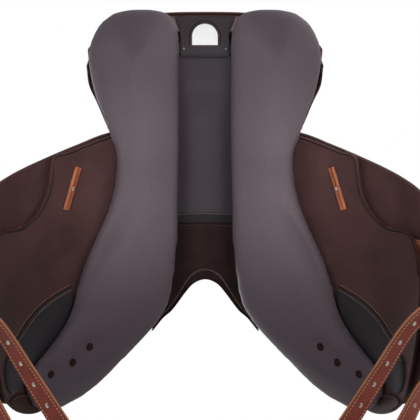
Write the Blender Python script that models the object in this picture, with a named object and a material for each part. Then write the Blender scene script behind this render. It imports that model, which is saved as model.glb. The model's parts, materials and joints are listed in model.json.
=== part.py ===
"""Jumping saddle, built as separate pieces in metres.

The saddle stands as it does on a horse: +Z up, the pommel towards -Y, the rider's left
towards +X. Most of it lies in layers on one curved carrier, like the horse's back: a barrel
over the middle and two flatter sides. A place on the carrier is given by s, the distance
down from the shoulder line, by y along the saddle, and by the lift outwards. The panels lie
inside lift 0, the sweat flaps, webbing, tree, billets, flaps and skirts outside it.
"""
import math

import bmesh
import bpy
from mathutils import Vector
from mathutils.bvhtree import BVHTree

COLLECTION_NAME = "jumping_saddle"
CUTTER_COLLECTION_NAME = "cutters"
SIDES = (("left", 1), ("right", -1))

# Clearances
GAP = 0.0003
LAYER_GAP = 0.0006
SLIDE_GAP = 0.0016

# Carrier
SHOULDER_X = 0.105
SHOULDER_Z = -0.012
SHOULDER_ANGLE = math.radians(38)
SIDE_RADIUS = 0.5184
REAR_BLEND_START = 0.125
REAR_BLEND_END = 0.195
REAR_TOP_Z = 0.012
REAR_TOP_RISE = 0.020
REAR_END_Y = 0.2780

# Leather and other sheet thicknesses
SWEAT_LEATHER = 0.0040
LINING_LEATHER = 0.0024
WEBBING = 0.0015
SEAT_WEBBING = 0.0010
BILLET_LEATHER = 0.0040
FLAP_LEATHER = 0.0045
SKIRT_LEATHER = 0.0040
SEAT_LEATHER = 0.0030
FACING_LEATHER = 0.0025
TREE_THICKNESS = 0.0090
PLATE_STEEL = 0.0025

# Seat
SEAT_FRONT_Y = -0.112
SEAT_REAR_Y = 0.2460
CANTLE_ROUNDING = 0.045
POMMEL_SWEEP = 0.030
SEAT_HALF_WIDTHS = (
    (0.0, 0.055), (0.1, 0.067), (0.2, 0.073), (0.3, 0.0775), (0.4, 0.0850), (0.5, 0.0985),
    (0.6, 0.1175), (0.7, 0.1355), (0.8, 0.1485), (0.9, 0.1575), (1.0, 0.1615))
SEAT_MIDDLE_HEIGHTS = (
    (0.0, 0.060), (0.08, 0.066), (0.2, 0.062), (0.35, 0.055), (0.5, 0.053), (0.62, 0.059),
    (0.75, 0.077), (0.87, 0.104), (0.96, 0.130), (1.0, 0.136))
SEAT_EDGE_HEIGHTS = (
    (0.0, 0.036), (0.1, 0.037), (0.25, 0.033), (0.4, 0.031), (0.5, 0.033), (0.6, 0.040),
    (0.72, 0.057), (0.85, 0.084), (0.95, 0.105), (1.0, 0.112))
SEAT_DISH_POWER = 2.4
FOAM_EDGE_P = 0.955
FOAM_Q = (0.02, 0.978)
FOAM_GAP = 0.0012
FOAM_HOLLOW = 0.0030
FOAM_ROUNDING = 0.0030
CANTLE_DEPTH = 0.045

RIM_START_Q = 0.50
FACING_SPAN = (0.10, 0.90)
FACING_STEPS = 32
FACING_INSET = 0.0012
FACING_TOP_DROP = 0.0066
FACING_FOOT_GAP = 0.0008
PIPING_DROP = 0.0050

# Tree
TREE_EDGE_P = 0.80
TREE_SHOULDER_P = 0.55
TREE_BLEND = 0.024
TREE_BLEND_Q = (0.42, 0.64)
TREE_SHOULDER_Q = (0.32, 0.44)
GULLET_PLATE_Y = (-0.1080, -0.0680)
GULLET_PLATE_HALF = 0.0540
HEAD_PLATE_Y = (-0.0940, -0.0700)
HEAD_PLATE_HALF = 0.0440
CANTLE_PLATE_P = 0.62
CANTLE_PLATE_Q = (0.88, 0.955)
LONG_WEB_P = (0.11, 0.37)
LONG_WEB_Q = (0.17, 0.86)
CROSS_WEB_P = 0.60
CROSS_WEB_Q = (0.38, 0.56)
POINT_OUTLINE = (
    (-0.0560, -0.1180, -0.0820), (-0.0300, -0.1220, -0.0860), (0.0400, -0.1480, -0.1160),
    (0.1000, -0.1700, -0.1440))
POINT_STEP_S = (-0.0480, -0.0360)

# Panels: inner edge x, y, z, outer edge x, y, z, depth of the bearing side, depth of the back
PANEL_SECTIONS = (
    (0.0700, 0.2770, 0.014, 0.1060, 0.2770, 0.014, 0.004, 0.006),
    (0.0470, 0.2730, 0.012, 0.1250, 0.2715, 0.010, 0.014, 0.018),
    (0.0350, 0.2560, -0.002, 0.1435, 0.2545, 0.002, 0.026, 0.032),
    (0.0335, 0.2240, -0.012, 0.1545, 0.2240, -0.010, 0.036, 0.050),
    (0.0335, 0.1825, -0.016, 0.1500, 0.1825, -0.014, 0.034, 0.055),
    (0.0335, 0.1400, -0.022, 0.1370, 0.1400, -0.030, 0.026, 0.060),
    (0.0335, 0.1010, -0.026, 0.1172, 0.1020, -0.048, 0.018, 0.060),
    (0.0340, 0.0600, -0.026, 0.1180, 0.0620, -0.046, 0.017, 0.060),
    (0.0350, 0.0150, -0.026, 0.1265, 0.0240, -0.050, 0.017, 0.060),
    (0.0365, -0.0300, -0.0265, 0.1400, -0.0080, -0.061, 0.017, 0.060),
    (0.0415, -0.0800, -0.028, 0.1555, -0.0430, -0.0775, 0.017, 0.060),
    (0.0490, -0.1240, -0.0285, 0.1680, -0.0770, -0.089, 0.016, 0.060),
    (0.0650, -0.1550, -0.031, 0.1780, -0.1110, -0.101, 0.014, 0.056),
    (0.0860, -0.1780, -0.041, 0.1925, -0.1325, -0.119, 0.012, 0.050),
    (0.1120, -0.2000, -0.057, 0.2080, -0.1488, -0.141, 0.011, 0.044),
    (0.1420, -0.2240, -0.079, 0.2200, -0.1585, -0.160, 0.010, 0.038),
    (0.1675, -0.2370, -0.0995, 0.2270, -0.1670, -0.171, 0.009, 0.032),
    (0.1900, -0.2415, -0.121, 0.2305, -0.1790, -0.1755, 0.007, 0.028),
    (0.2080, -0.2390, -0.1385, 0.2300, -0.1950, -0.174, 0.005, 0.022),
    (0.2175, -0.2320, -0.150, 0.2265, -0.2120, -0.166, 0.003, 0.016))
PANEL_POINTS_ROUND = 16
PANEL_COARSE_STATIONS = 18
PANEL_FINE_FROM = 0.57
PANEL_FINE_STATIONS = 20
PANEL_SQUARENESS = 0.72
TUFT_PLACES = ((0.1514, -0.1600), (0.1729, -0.1740), (0.1999, -0.1793))
TUFT_RADIUS = 0.0038
TUFT_HEIGHT = 0.0018
TUFT_ROOT = 0.0010
DIMPLE_DEPTH = 0.0060
DIMPLE_RADIUS = 0.0150

# Channel
CHANNEL_REAR_Y = 0.2145
CHANNEL_BAND_Y = -0.0135
CHANNEL_FRONT_Y = -0.0272
LINING_HALF_WIDTH = 0.0530
ARCH_EDGE = (
    (-0.0100, -0.1158), (0.0, -0.1135), (0.0100, -0.1158), (0.0200, -0.1222),
    (0.0300, -0.1342), (0.0420, -0.1508), (0.0500, -0.1603), (0.0610, -0.1690),
    (0.0740, -0.1840), (0.0800, -0.1910))
ARCH_FOOT_HALF_WIDTH = 0.0770
ARCH_LEG_SHARE = 0.41
GUSSET_HALF_WIDTHS = (0.0325, 0.0405)
GUSSET_FLARE_Y = 0.2380
GUSSET_Y = (0.2120, 0.2660)
GUSSET_THICKNESS = 0.0035
BADGE_HALF_WIDTH = 0.0172
BADGE_FRONT_Y = 0.2279
BADGE_LENGTH = 0.0281
BADGE_THICKNESS = 0.0008
GUSSET_RIVET_X = 0.0285
GUSSET_RIVET_Y = 0.2224
GUSSET_RIVET_RADIUS = 0.0016
GUSSET_RIVET_HEIGHT = 0.0010

# Sweat flap outline: s, front y, rear y
SWEAT_FLAP_OUTLINE = (
    (-0.034, -0.116, 0.112), (-0.015, -0.140, 0.115), (0.010, -0.164, 0.1155),
    (0.040, -0.187, 0.1145), (0.070, -0.206, 0.112), (0.100, -0.220, 0.1095),
    (0.128, -0.229, 0.107), (0.134, -0.2305, 0.080), (0.140, -0.232, 0.0635),
    (0.155, -0.236, 0.0465), (0.1745, -0.238, 0.037), (0.1955, -0.2325, 0.033),
    (0.220, -0.219, 0.038), (0.242, -0.197, 0.041), (0.2525, -0.178, 0.036),
    (0.2605, -0.148, 0.0255), (0.267, -0.118, 0.012), (0.2745, -0.080, -0.015))
SWEAT_FLAP_COLUMNS = 5

# Main flap outline below the bend: s, front y, rear y
FLAP_BEND_S = 0.0970
FLAP_TOP_OUTLINE = (
    (-0.0020, -0.1570, 0.1155), (0.0320, -0.1790, 0.1145), (0.0660, -0.1980, 0.1105),
    (0.0964, -0.2115, 0.1078))
FLAP_OUTLINE = (
    (0.0970, -0.2125, 0.1075), (0.130, -0.2235, 0.1050), (0.165, -0.2270, 0.1030),
    (0.200, -0.2200, 0.1005), (0.235, -0.2020, 0.0960), (0.270, -0.1800, 0.0860),
    (0.300, -0.1610, 0.0720), (0.328, -0.1390, 0.0500), (0.350, -0.1150, 0.0220),
    (0.366, -0.0890, -0.0080), (0.376, -0.0630, -0.0400))

# Knee pads and blocks
KNEE_PAD_OUTLINE = (
    (0.1040, -0.1060, -0.0790), (0.1200, -0.1330, -0.0805), (0.1420, -0.1500, -0.0830),
    (0.1680, -0.1650, -0.0885), (0.1930, -0.1760, -0.0980), (0.2100, -0.1830, -0.1080),
    (0.2340, -0.1850, -0.1200), (0.2500, -0.1700, -0.1360))
KNEE_PAD_DEPTH = 0.0060
KNEE_BLOCK_OUTLINE = (
    (0.0600, -0.1900, -0.1720), (0.0800, -0.2000, -0.1660), (0.1200, -0.2120, -0.1700),
    (0.1700, -0.2160, -0.1760), (0.2000, -0.2080, -0.1740), (0.2200, -0.1960, -0.1760))
THIGH_BLOCK_OUTLINE = (
    (0.2250, -0.1400, -0.0920), (0.2350, -0.1440, -0.0860), (0.2450, -0.1460, -0.0840),
    (0.2550, -0.1400, -0.0860))
BLOCK_EDGE = 0.0008
BLOCK_FLATNESS = 0.25

# Corner patches: s, front y, rear y
CORNER_PATCH_OUTLINE = (
    (0.1830, -0.2345, -0.2230), (0.1950, -0.2315, -0.2050), (0.2170, -0.2195, -0.1925),
    (0.2340, -0.2040, -0.1900), (0.2410, -0.1965, -0.1910))
CORNER_PATCH_DEPTH = 0.0022

# Billets and webbing
BILLET_WIDTH = 0.024
BILLET_PIVOT_S = 0.046
BILLET_Y = {"rear": 0.025, "front": -0.014}
BILLET_WEBBING_Y = (-0.034, 0.052)
BILLET_WEBBING_S = (-0.050, 0.060)
BILLET_COLUMNS = 2
BILLET_DRIFT_STEPS = 16
BILLET_TIP_CROWDING = 1.25
BILLET_ROUNDING = 0.010
BILLET_HOLE_WIDTH = 0.0052
BILLET_HOLE_PITCH = 0.028
BILLET_HOLE_COUNT = 8
BILLET_TIP_MARGIN = {"rear": 0.030, "front": 0.030}
BILLET_STATIONS = 24
BILLET_DRIFT = {
    "rear": ((0.046, 0.0250), (0.110, 0.0195), (0.190, 0.0180), (0.250, 0.0215), (0.330, 0.0380)),
    "front": ((0.046, -0.0140), (0.150, -0.0165), (0.250, -0.0180), (0.330, -0.0140))}
BILLET_FREE_POINTS = {
    "rear": ((0.3010, 0.0400, -0.3330), (0.2900, 0.0375, -0.3640), (0.2640, 0.0262, -0.3860),
             (0.2327, 0.0061, -0.4050), (0.1983, -0.0377, -0.4320), (0.1633, -0.0825, -0.4600),
             (0.1260, -0.1290, -0.4880)),
    "front": ((0.3020, -0.0150, -0.3350), (0.2950, -0.0230, -0.3680), (0.2750, -0.0410, -0.3960),
              (0.2500, -0.0620, -0.4200), (0.2290, -0.0880, -0.4460), (0.2070, -0.1210, -0.4720),
              (0.1830, -0.1560, -0.4960))}
BILLET_END_NORMAL = (0.25, 0.15, -0.95)

# Billet keepers on the sweat flap
KEEPER_TOP = (0.0845, 0.0850)
KEEPER_BOTTOM = (0.1095, 0.0325)
KEEPER_WIDTH = 0.0090
KEEPER_THICKNESS = 0.0022
KEEPER_STUD_RADIUS = 0.0024
KEEPER_STUD_HEIGHT = 0.0012

# Stirrup bars
BAR_PLATE_Y = (-0.070, 0.004)
BAR_PLATE_S = (-0.036, -0.018)
BAR_STEEL = 0.0030
BAR_ROD_Y = (-0.068, 0.018)
BAR_ROD_S = 0.010
BAR_ROD_LIFT = 0.0275
BAR_ROD_RADIUS = 0.0040
BAR_ARM_Y = (-0.067, -0.053)
BAR_ARM_HALF = 0.0024
BAR_ARM_OVERLAP = 0.0040
BAR_TONGUE_WIDTH = 0.0024
BAR_TONGUE_LENGTH = 0.0055
BAR_RIVET_PLACES = ((-0.027, -0.060), (-0.027, -0.033), (-0.027, -0.006))
BAR_RIVET_RADIUS = 0.0026
BAR_RIVET_HEIGHT = 0.0014
CATCH_HALF_DEPTH = 0.0030
CATCH_WIDTH = 0.0090
CATCH_LENGTH = 0.0160
CATCH_CLEARANCE = 0.0004
CATCH_SLOT_DEPTH = 0.0042
CATCH_PIN_RADIUS = 0.0012
CATCH_LIP = 0.0016

# Skirts
SKIRT_OUTLINE = (
    (0.0, -0.0850, 0.0200), (0.2, -0.1180, 0.0720), (0.45, -0.1300, 0.0860),
    (0.7, -0.1340, 0.0850), (0.87, -0.1260, 0.0730), (1.0, -0.1040, 0.0450))
SKIRT_TOP = ((0.0688, -0.0850), (0.0832, 0.0200))
SKIRT_END_S = 0.0880
SKIRT_LIFTS = (
    (0.0, 0.0250), (0.18, 0.0360), (0.33, 0.0410), (0.55, 0.0385), (0.78, 0.0290), (1.0, 0.0205))

# Piping, dees and nails
PIPING_RADIUS = 0.0020
DEE_WIDTH = 0.020
DEE_DROP = 0.018
DEE_WIRE_RADIUS = 0.0014
DEE_CLEARANCE = 0.0005
CHAPE_WALL = 0.0018
CHAPE_TAIL = 0.0026
CHAPE_LENGTH = 0.013
CHAPE_WIDTH = 0.011
FRONT_DEE_PLACE = (0.0130, -0.1490)
REAR_DEE_T = 0.40
REAR_DEE_SHARE = 0.42
NAIL_PLACE = (0.0045, -0.1330)
NAIL_RADIUS = 0.0045
NAIL_HEIGHT = 0.0018


def mix(first, second, share):
    """Value or vector that lies the given share of the way from first to second."""
    return first + (second - first) * share


def ease(start, end, value):
    """Smooth step from 0 at start to 1 at end."""
    share = min(max((value - start) / (end - start), 0.0), 1.0)
    return share * share * (3 - 2 * share)


def smooth(points, at, column=1):
    """Value of one column at a place on a smooth curve through points in rising order."""
    if at <= points[0][0]:
        return points[0][column]
    if at >= points[-1][0]:
        return points[-1][column]
    index = next(i for i in range(len(points) - 1) if at <= points[i + 1][0])

    def slope(i):
        low = max(i - 1, 0)
        high = min(i + 1, len(points) - 1)
        return (points[high][column] - points[low][column]) / (points[high][0] - points[low][0])

    start, end = points[index], points[index + 1]
    span = end[0] - start[0]
    t = (at - start[0]) / span
    rise = (2 * t ** 3 - 3 * t ** 2 + 1) * start[column] + (3 * t ** 2 - 2 * t ** 3) * end[column]
    lean = (t ** 3 - 2 * t ** 2 + t) * slope(index) + (t ** 3 - t ** 2) * slope(index + 1)
    return rise + span * lean


def spline_point(points, at):
    """Vector at a share of the way along an even spline through vectors."""
    last = len(points) - 1
    place = min(max(at, 0.0), 1.0) * last
    index = min(int(place), last - 1)
    t = place - index
    before = points[max(index - 1, 0)]
    start, end = points[index], points[index + 1]
    after = points[min(index + 2, last)]
    return 0.5 * (2 * start + (end - before) * t
                  + (2 * before - 5 * start + 4 * end - after) * t ** 2
                  + (3 * start - before - 3 * end + after) * t ** 3)


# The carrier
BACK_RADIUS = SHOULDER_X / math.sin(SHOULDER_ANGLE)
BACK_CENTRE_Z = SHOULDER_Z - BACK_RADIUS * math.cos(SHOULDER_ANGLE)
SIDE_CENTRE_X = SHOULDER_X - SIDE_RADIUS * math.sin(SHOULDER_ANGLE)
SIDE_CENTRE_Z = SHOULDER_Z - SIDE_RADIUS * math.cos(SHOULDER_ANGLE)
BED_S = (-BACK_RADIUS * SHOULDER_ANGLE - 0.020, 0.330)
BED_Y = (-0.290, 0.290)


def carrier_angle(s):
    """Slope of the carrier below the horizontal at s."""
    radius = SIDE_RADIUS if s > 0 else BACK_RADIUS
    return SHOULDER_ANGLE + s / radius


def carrier_normal(s):
    """Outward direction of the carrier at s on the left side."""
    angle = carrier_angle(s)
    return Vector((math.sin(angle), 0, math.cos(angle)))


def carrier(s, y, lift):
    """Point on the left side of the carrier."""
    normal = carrier_normal(s)
    if s > 0:
        centre, radius = Vector((SIDE_CENTRE_X, y, SIDE_CENTRE_Z)), SIDE_RADIUS
    else:
        centre, radius = Vector((0, y, BACK_CENTRE_Z)), BACK_RADIUS
    return centre + normal * (radius + lift)


def carrier_height(x, lift):
    """Height of the carrier above a distance x from the middle."""
    reach = abs(x)
    if reach < (BACK_RADIUS + lift) * math.sin(SHOULDER_ANGLE):
        return BACK_CENTRE_Z + math.sqrt((BACK_RADIUS + lift) ** 2 - reach ** 2)
    return SIDE_CENTRE_Z + math.sqrt((SIDE_RADIUS + lift) ** 2 - (reach - SIDE_CENTRE_X) ** 2)


def top_height(x, y, lift):
    """Height of what lies on the panels: the carrier, and a gently rising table at the rear."""
    share = ease(REAR_BLEND_START, REAR_BLEND_END, y)
    table = REAR_TOP_Z + REAR_TOP_RISE * ease(REAR_BLEND_START, REAR_END_Y, y)
    return mix(carrier_height(x, lift), table + lift, share)


def rear_station(start, end, share, lead):
    """Distance along the saddle with close steps where the rear bends: lead is the share ahead."""
    if share < lead:
        return mix(start, REAR_BLEND_START, share / lead)
    return mix(REAR_BLEND_START, end, (share - lead) / (1 - lead))


# Lifts of the layers
SWEAT_LIFTS = (0.0, SWEAT_LEATHER)
LINING_LIFTS = (GAP, GAP + LINING_LEATHER)
WEBBING_LIFTS = (SWEAT_LEATHER + LAYER_GAP, SWEAT_LEATHER + LAYER_GAP + WEBBING)
TREE_LIFT = WEBBING_LIFTS[1] + LAYER_GAP
TREE_TOP_LIFT = TREE_LIFT + TREE_THICKNESS
GULLET_PLATE_LIFTS = (TREE_LIFT - LAYER_GAP - PLATE_STEEL, TREE_LIFT - LAYER_GAP)
HEAD_PLATE_LIFTS = (TREE_TOP_LIFT + LAYER_GAP, TREE_TOP_LIFT + LAYER_GAP + PLATE_STEEL)
BILLET_LIFTS = (WEBBING_LIFTS[1] + LAYER_GAP, WEBBING_LIFTS[1] + LAYER_GAP + BILLET_LEATHER)
FLAP_LIFTS = (BILLET_LIFTS[1] + SLIDE_GAP, BILLET_LIFTS[1] + SLIDE_GAP + FLAP_LEATHER)
POINT_TOP_LIFTS = (-0.0040, TREE_LIFT - LAYER_GAP)
POINT_LOW_LIFTS = (-0.0085, -LAYER_GAP)


def new_collection(name, hidden):
    collection = bpy.data.collections.new(name)
    bpy.context.scene.collection.children.link(collection)
    collection.hide_render = hidden
    return collection


def make_material(name, colour, roughness, metallic=0.0):
    """Plain material with one colour, given as linear red, green and blue."""
    material = bpy.data.materials.new(name)
    material.use_nodes = True
    shader = material.node_tree.nodes["Principled BSDF"]
    shader.inputs["Base Color"].default_value = (*colour, 1.0)
    shader.inputs["Roughness"].default_value = roughness
    shader.inputs["Metallic"].default_value = metallic
    material.diffuse_color = (*colour, 1.0)
    return material


MATERIAL_FINISHES = {
    "panel_leather": ((0.075, 0.058, 0.066), 0.55),
    "channel_leather": ((0.045, 0.038, 0.042), 0.60),
    "flap_leather": ((0.060, 0.030, 0.028), 0.50),
    "arch_leather": ((0.040, 0.015, 0.013), 0.45),
    "billet_leather": ((0.230, 0.075, 0.045), 0.50),
    "keeper_leather": ((0.400, 0.130, 0.060), 0.50),
    "seat_leather": ((0.055, 0.026, 0.022), 0.45),
    "badge_white": ((0.900, 0.900, 0.900), 0.40),
    "webbing": ((0.500, 0.450, 0.350), 0.80),
    "foam": ((0.600, 0.560, 0.450), 0.90),
    "tree_laminate": ((0.250, 0.140, 0.060), 0.60)}
METAL_FINISHES = {
    "spring_steel": ((0.350, 0.350, 0.370), 0.35),
    "bright_steel": ((0.700, 0.700, 0.710), 0.20)}


def finish_object(name, bm, material, collection):
    """Object with a name, a mesh, its own copy of a material and smooth round faces."""
    mesh = bpy.data.meshes.new(name)
    bm.to_mesh(mesh)
    bm.free()
    mesh.shade_smooth()
    mesh.set_sharp_from_angle(angle=math.radians(35))
    own = material.copy()
    own.name = name + "_material"
    mesh.materials.append(own)
    obj = bpy.data.objects.new(name, mesh)
    collection.objects.link(obj)
    return obj


def slab_mesh(outer, inner, columns, rows, side=1):
    """Closed sheet between two surfaces of u and v, mirrored for the right side."""
    bm = bmesh.new()
    bmesh.ops.create_grid(bm, x_segments=columns, y_segments=rows, size=0.5)
    walls = bmesh.ops.extrude_face_region(bm, geom=bm.faces[:])
    inner_verts = {item for item in walls["geom"] if isinstance(item, bmesh.types.BMVert)}
    for vert in bm.verts:
        u, v = vert.co.x + 0.5, vert.co.y + 0.5
        point = inner(u, v) if vert in inner_verts else outer(u, v)
        vert.co = (side * point.x, point.y, point.z)
    bmesh.ops.recalc_face_normals(bm, faces=bm.faces)
    return bm


def row_at(outline, v):
    """Row of an outline at v, a whole row for each step, so that corners stay where they are."""
    place = v * (len(outline) - 1)
    index = min(int(place), len(outline) - 2)
    return [mix(a, b, place - index) for a, b in zip(outline[index], outline[index + 1])]


def layer_mesh(outline, lifts, columns, side, rows=None):
    """Sheet on the carrier inside an outline of s, front y and rear y."""
    def surface(lift):
        def place(u, v):
            s, front, rear = row_at(outline, v)
            height = lift(s, mix(front, rear, u)) if callable(lift) else lift
            return carrier(s, mix(front, rear, u), height)
        return place

    return slab_mesh(surface(lifts[1]), surface(lifts[0]), columns, rows or len(outline) - 1, side)


def join_meshes(parts):
    """One mesh of several separate closed bodies."""
    joined = bmesh.new()
    for part in parts:
        mesh = bpy.data.meshes.new("part")
        part.to_mesh(mesh)
        part.free()
        joined.from_mesh(mesh)
        bpy.data.meshes.remove(mesh)
    return joined


def disc_mesh(centre, direction, radius, height, sides=12, dome=0.0):
    """Short round stud standing on centre, with an optional domed top."""
    bm = bmesh.new()
    bmesh.ops.create_cone(bm, cap_ends=True, segments=sides, radius1=radius,
                          radius2=radius * (1 - dome), depth=height)
    turn = Vector((0, 0, 1)).rotation_difference(Vector(direction))
    for vert in bm.verts:
        vert.co = turn @ (vert.co + Vector((0, 0, height / 2))) + Vector(centre)
    return bm


def tube_mesh(points, radius, closed=False, sides_resolution=2):
    """Round tube through points, made from a bevelled curve with filled caps."""
    curve = bpy.data.curves.new("tube", "CURVE")
    curve.dimensions = "3D"
    curve.bevel_depth = radius
    curve.bevel_resolution = sides_resolution
    curve.use_fill_caps = not closed
    spline = curve.splines.new("POLY")
    spline.points.add(len(points) - 1)
    spline.use_cyclic_u = closed
    for target, point in zip(spline.points, points):
        target.co = (*point, 1.0)
    obj = bpy.data.objects.new("tube", curve)
    bpy.context.scene.collection.objects.link(obj)
    bpy.context.view_layer.update()
    mesh = bpy.data.meshes.new_from_object(obj.evaluated_get(bpy.context.evaluated_depsgraph_get()))
    bm = bmesh.new()
    bm.from_mesh(mesh)
    bmesh.ops.remove_doubles(bm, verts=bm.verts, dist=1e-6)
    bmesh.ops.recalc_face_normals(bm, faces=bm.faces)
    bpy.data.objects.remove(obj)
    bpy.data.curves.remove(curve)
    bpy.data.meshes.remove(mesh)
    return bm


def cut(obj, cutter):
    """Take the cutter's shape out of the object."""
    combine(obj, cutter, "DIFFERENCE")


def combine(obj, cutter, operation):
    modifier = obj.modifiers.new(cutter.name, "BOOLEAN")
    modifier.operation = operation
    modifier.solver = "EXACT"
    modifier.object = cutter


def add_cutter(name, bm, collection):
    mesh = bpy.data.meshes.new(name)
    bm.to_mesh(mesh)
    bm.free()
    cutter = bpy.data.objects.new(name, mesh)
    cutter.hide_render = True
    cutter.display_type = "WIRE"
    collection.objects.link(cutter)
    return cutter


# The seat
def seat_plan(p, q):
    """Place in plan: p runs from -1 to 1 across, q from 0 at the pommel to 1 at the cantle."""
    half = smooth(SEAT_HALF_WIDTHS, q)
    y = mix(SEAT_FRONT_Y, SEAT_REAR_Y, q)
    y -= CANTLE_ROUNDING * ease(0.7, 1.0, q) * abs(p) ** 4
    y -= POMMEL_SWEEP * (1 - ease(0.0, 0.3, q)) * abs(p) ** 1.5
    return p * half, y


def seat_height(p, q):
    """Height of the seat's top."""
    middle = smooth(SEAT_MIDDLE_HEIGHTS, q)
    edge = smooth(SEAT_EDGE_HEIGHTS, q)
    return mix(middle, edge, abs(p) ** SEAT_DISH_POWER)


def seat_point(p, q, depth=0.0):
    x, y = seat_plan(p, q)
    return Vector((x, y, seat_height(p, q) - depth))


def tree_point(p, q, rise):
    """Point on the tree: on the carrier in front, close under the seat at the cantle."""
    x, y = seat_plan(p, q)
    low = top_height(x, y, TREE_LIFT)
    high = seat_height(p, q) - CANTLE_DEPTH
    blend = TREE_BLEND * ease(*TREE_BLEND_Q, q)
    return Vector((x, y, (low + high + math.hypot(low - high, blend)) / 2 + rise))


def rim_point(t):
    """Place on the seat's rim in plan, from the left waist round the cantle to the right."""
    if t < 0.35:
        return 1.0, mix(RIM_START_Q, 1.0, t / 0.35)
    if t > 0.65:
        return -1.0, mix(1.0, RIM_START_Q, (t - 0.65) / 0.35)
    return mix(1.0, -1.0, (t - 0.35) / 0.30), 1.0


def build_seat(add):
    """Seat cover, foam, tree and their edge pieces."""
    def cover(depth):
        return lambda u, v: seat_point(2 * u - 1, v, depth)

    add("seat_cover", slab_mesh(cover(0.0), cover(SEAT_LEATHER), 10, 13), "seat_leather")

    def inside(u, v):
        """Place on the foam: the cover's own grid, stopped short of its edges."""
        p = min(max(2 * u - 1, -FOAM_EDGE_P), FOAM_EDGE_P)
        return p, min(max(v, FOAM_Q[0]), FOAM_Q[1])

    def foam_top(u, v):
        p, q = inside(u, v)
        rounding = FOAM_ROUNDING if (p, q) != (2 * u - 1, v) else 0.0
        return seat_point(p, q, SEAT_LEATHER + LAYER_GAP + rounding)

    def foam_base(u, v):
        p, q = inside(u, v)
        _x, y = seat_plan(p, q)
        over_head = 1 - ease(HEAD_PLATE_Y[1] + 0.014, HEAD_PLATE_Y[1] + 0.034, y)
        rise = TREE_THICKNESS + FOAM_GAP + over_head * (PLATE_STEEL + LAYER_GAP)
        return tree_point(p, q, rise + FOAM_HOLLOW * ease(*TREE_BLEND_Q, q))

    add("seat_foam", slab_mesh(foam_top, foam_base, 10, 13), "foam")

    def ring(rise):
        def place(u, v):
            turn = 2 * math.pi * u
            across, along = math.cos(turn), math.sin(turn)
            edge_q = 0.50 + 0.47 * math.copysign(abs(along) ** 0.6, along)
            edge_p = TREE_EDGE_P + TREE_SHOULDER_P * (1 - ease(*TREE_SHOULDER_Q, edge_q))
            outer = Vector((edge_p * math.copysign(abs(across) ** 0.6, across), edge_q))
            inner = Vector((0.46 * across, 0.52 + 0.30 * along))
            p, q = mix(inner, outer, v)
            return tree_point(p, q, rise)
        return place

    add("tree_frame", ring_mesh(ring(TREE_THICKNESS), ring(0.0), 48, 5), "tree_laminate")


def ring_mesh(outer, inner, columns, rows):
    """Closed ring between two surfaces, where u runs once round and v across the rim."""
    bm = bmesh.new()
    bmesh.ops.create_grid(bm, x_segments=columns, y_segments=rows, size=0.5)
    walls = bmesh.ops.extrude_face_region(bm, geom=bm.faces[:])
    inner_verts = {item for item in walls["geom"] if isinstance(item, bmesh.types.BMVert)}
    seam = [face for face in bm.faces
            if all(vert.co.x < -0.4999 for vert in face.verts)
            or all(vert.co.x > 0.4999 for vert in face.verts)]
    bmesh.ops.delete(bm, geom=seam, context="FACES_ONLY")
    for vert in bm.verts:
        u, v = vert.co.x + 0.5, vert.co.y + 0.5
        vert.co = inner(u, v) if vert in inner_verts else outer(u, v)
    bmesh.ops.remove_doubles(bm, verts=bm.verts, dist=1e-6)
    bmesh.ops.recalc_face_normals(bm, faces=bm.faces)
    return bm


def rim_frame(t):
    """Place in plan, outward direction in plan and seat height at t along the seat's rim."""
    p, q = rim_point(t)
    place = Vector(seat_plan(p, q))
    before = Vector(seat_plan(*rim_point(t - 0.01)))
    after = Vector(seat_plan(*rim_point(t + 0.01)))
    along = (after - before).normalized()
    out = Vector((along.y, -along.x))
    if out.dot(place - Vector((0, SEAT_REAR_Y / 2))) < 0:
        out = -out
    return place, out, seat_height(p, q)


def rim_place(t, outward, share):
    """Point beside the rim: share runs from the foot on the panels up to the rim."""
    place, out, height = rim_frame(t)
    x, y = place + out * outward
    foot = top_height(x, y, FACING_FOOT_GAP)
    return Vector((x, y, mix(foot, height - FACING_TOP_DROP, share)))


def cantle_place(t, share):
    """Point on the outer face of the left cantle facing, with its down and outward ways."""
    point = rim_place(t, -FACING_INSET, share)
    down = (rim_place(t, -FACING_INSET, share - 0.05) - point).normalized()
    sideways = rim_place(t + 0.01, 0.0, share) - rim_place(t - 0.01, 0.0, share)
    out = down.cross(sideways).normalized()
    if out.dot(point) < 0:
        out = -out
    down = (down - out * down.dot(out)).normalized()
    return point, down, out


def build_seat_edges(add):
    """Facings that close the cantle and the pommel, and the piping round the rim."""
    def facing(outward):
        return lambda u, v: rim_place(mix(*FACING_SPAN, u), outward, v)

    add("cantle_facing", slab_mesh(facing(-FACING_INSET), facing(-FACING_INSET - FACING_LEATHER),
                                   FACING_STEPS, 2), "seat_leather")

    def front(outward):
        def place(u, v):
            p = mix(-0.97, 0.97, u)
            x, y = seat_plan(p, 0.0)
            foot = top_height(x, y, LINING_LIFTS[1] + LAYER_GAP)
            top = seat_height(p, 0.0) - SEAT_LEATHER - LAYER_GAP
            return Vector((x, y - outward, mix(foot, top, v)))
        return place

    add("pommel_facing", slab_mesh(front(FACING_LEATHER), front(0.0), 14, 2), "seat_leather")

    piping = []
    for index in range(FACING_STEPS + 1):
        outward = PIPING_RADIUS + GAP - FACING_INSET
        point = rim_place(mix(*FACING_SPAN, index / FACING_STEPS), outward, 1.0)
        rise = FACING_TOP_DROP - PIPING_DROP - PIPING_RADIUS
        piping.append(point + Vector((0, 0, rise)))
    add("seat_piping", tube_mesh(piping, PIPING_RADIUS, False, 1), "seat_leather")


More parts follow.
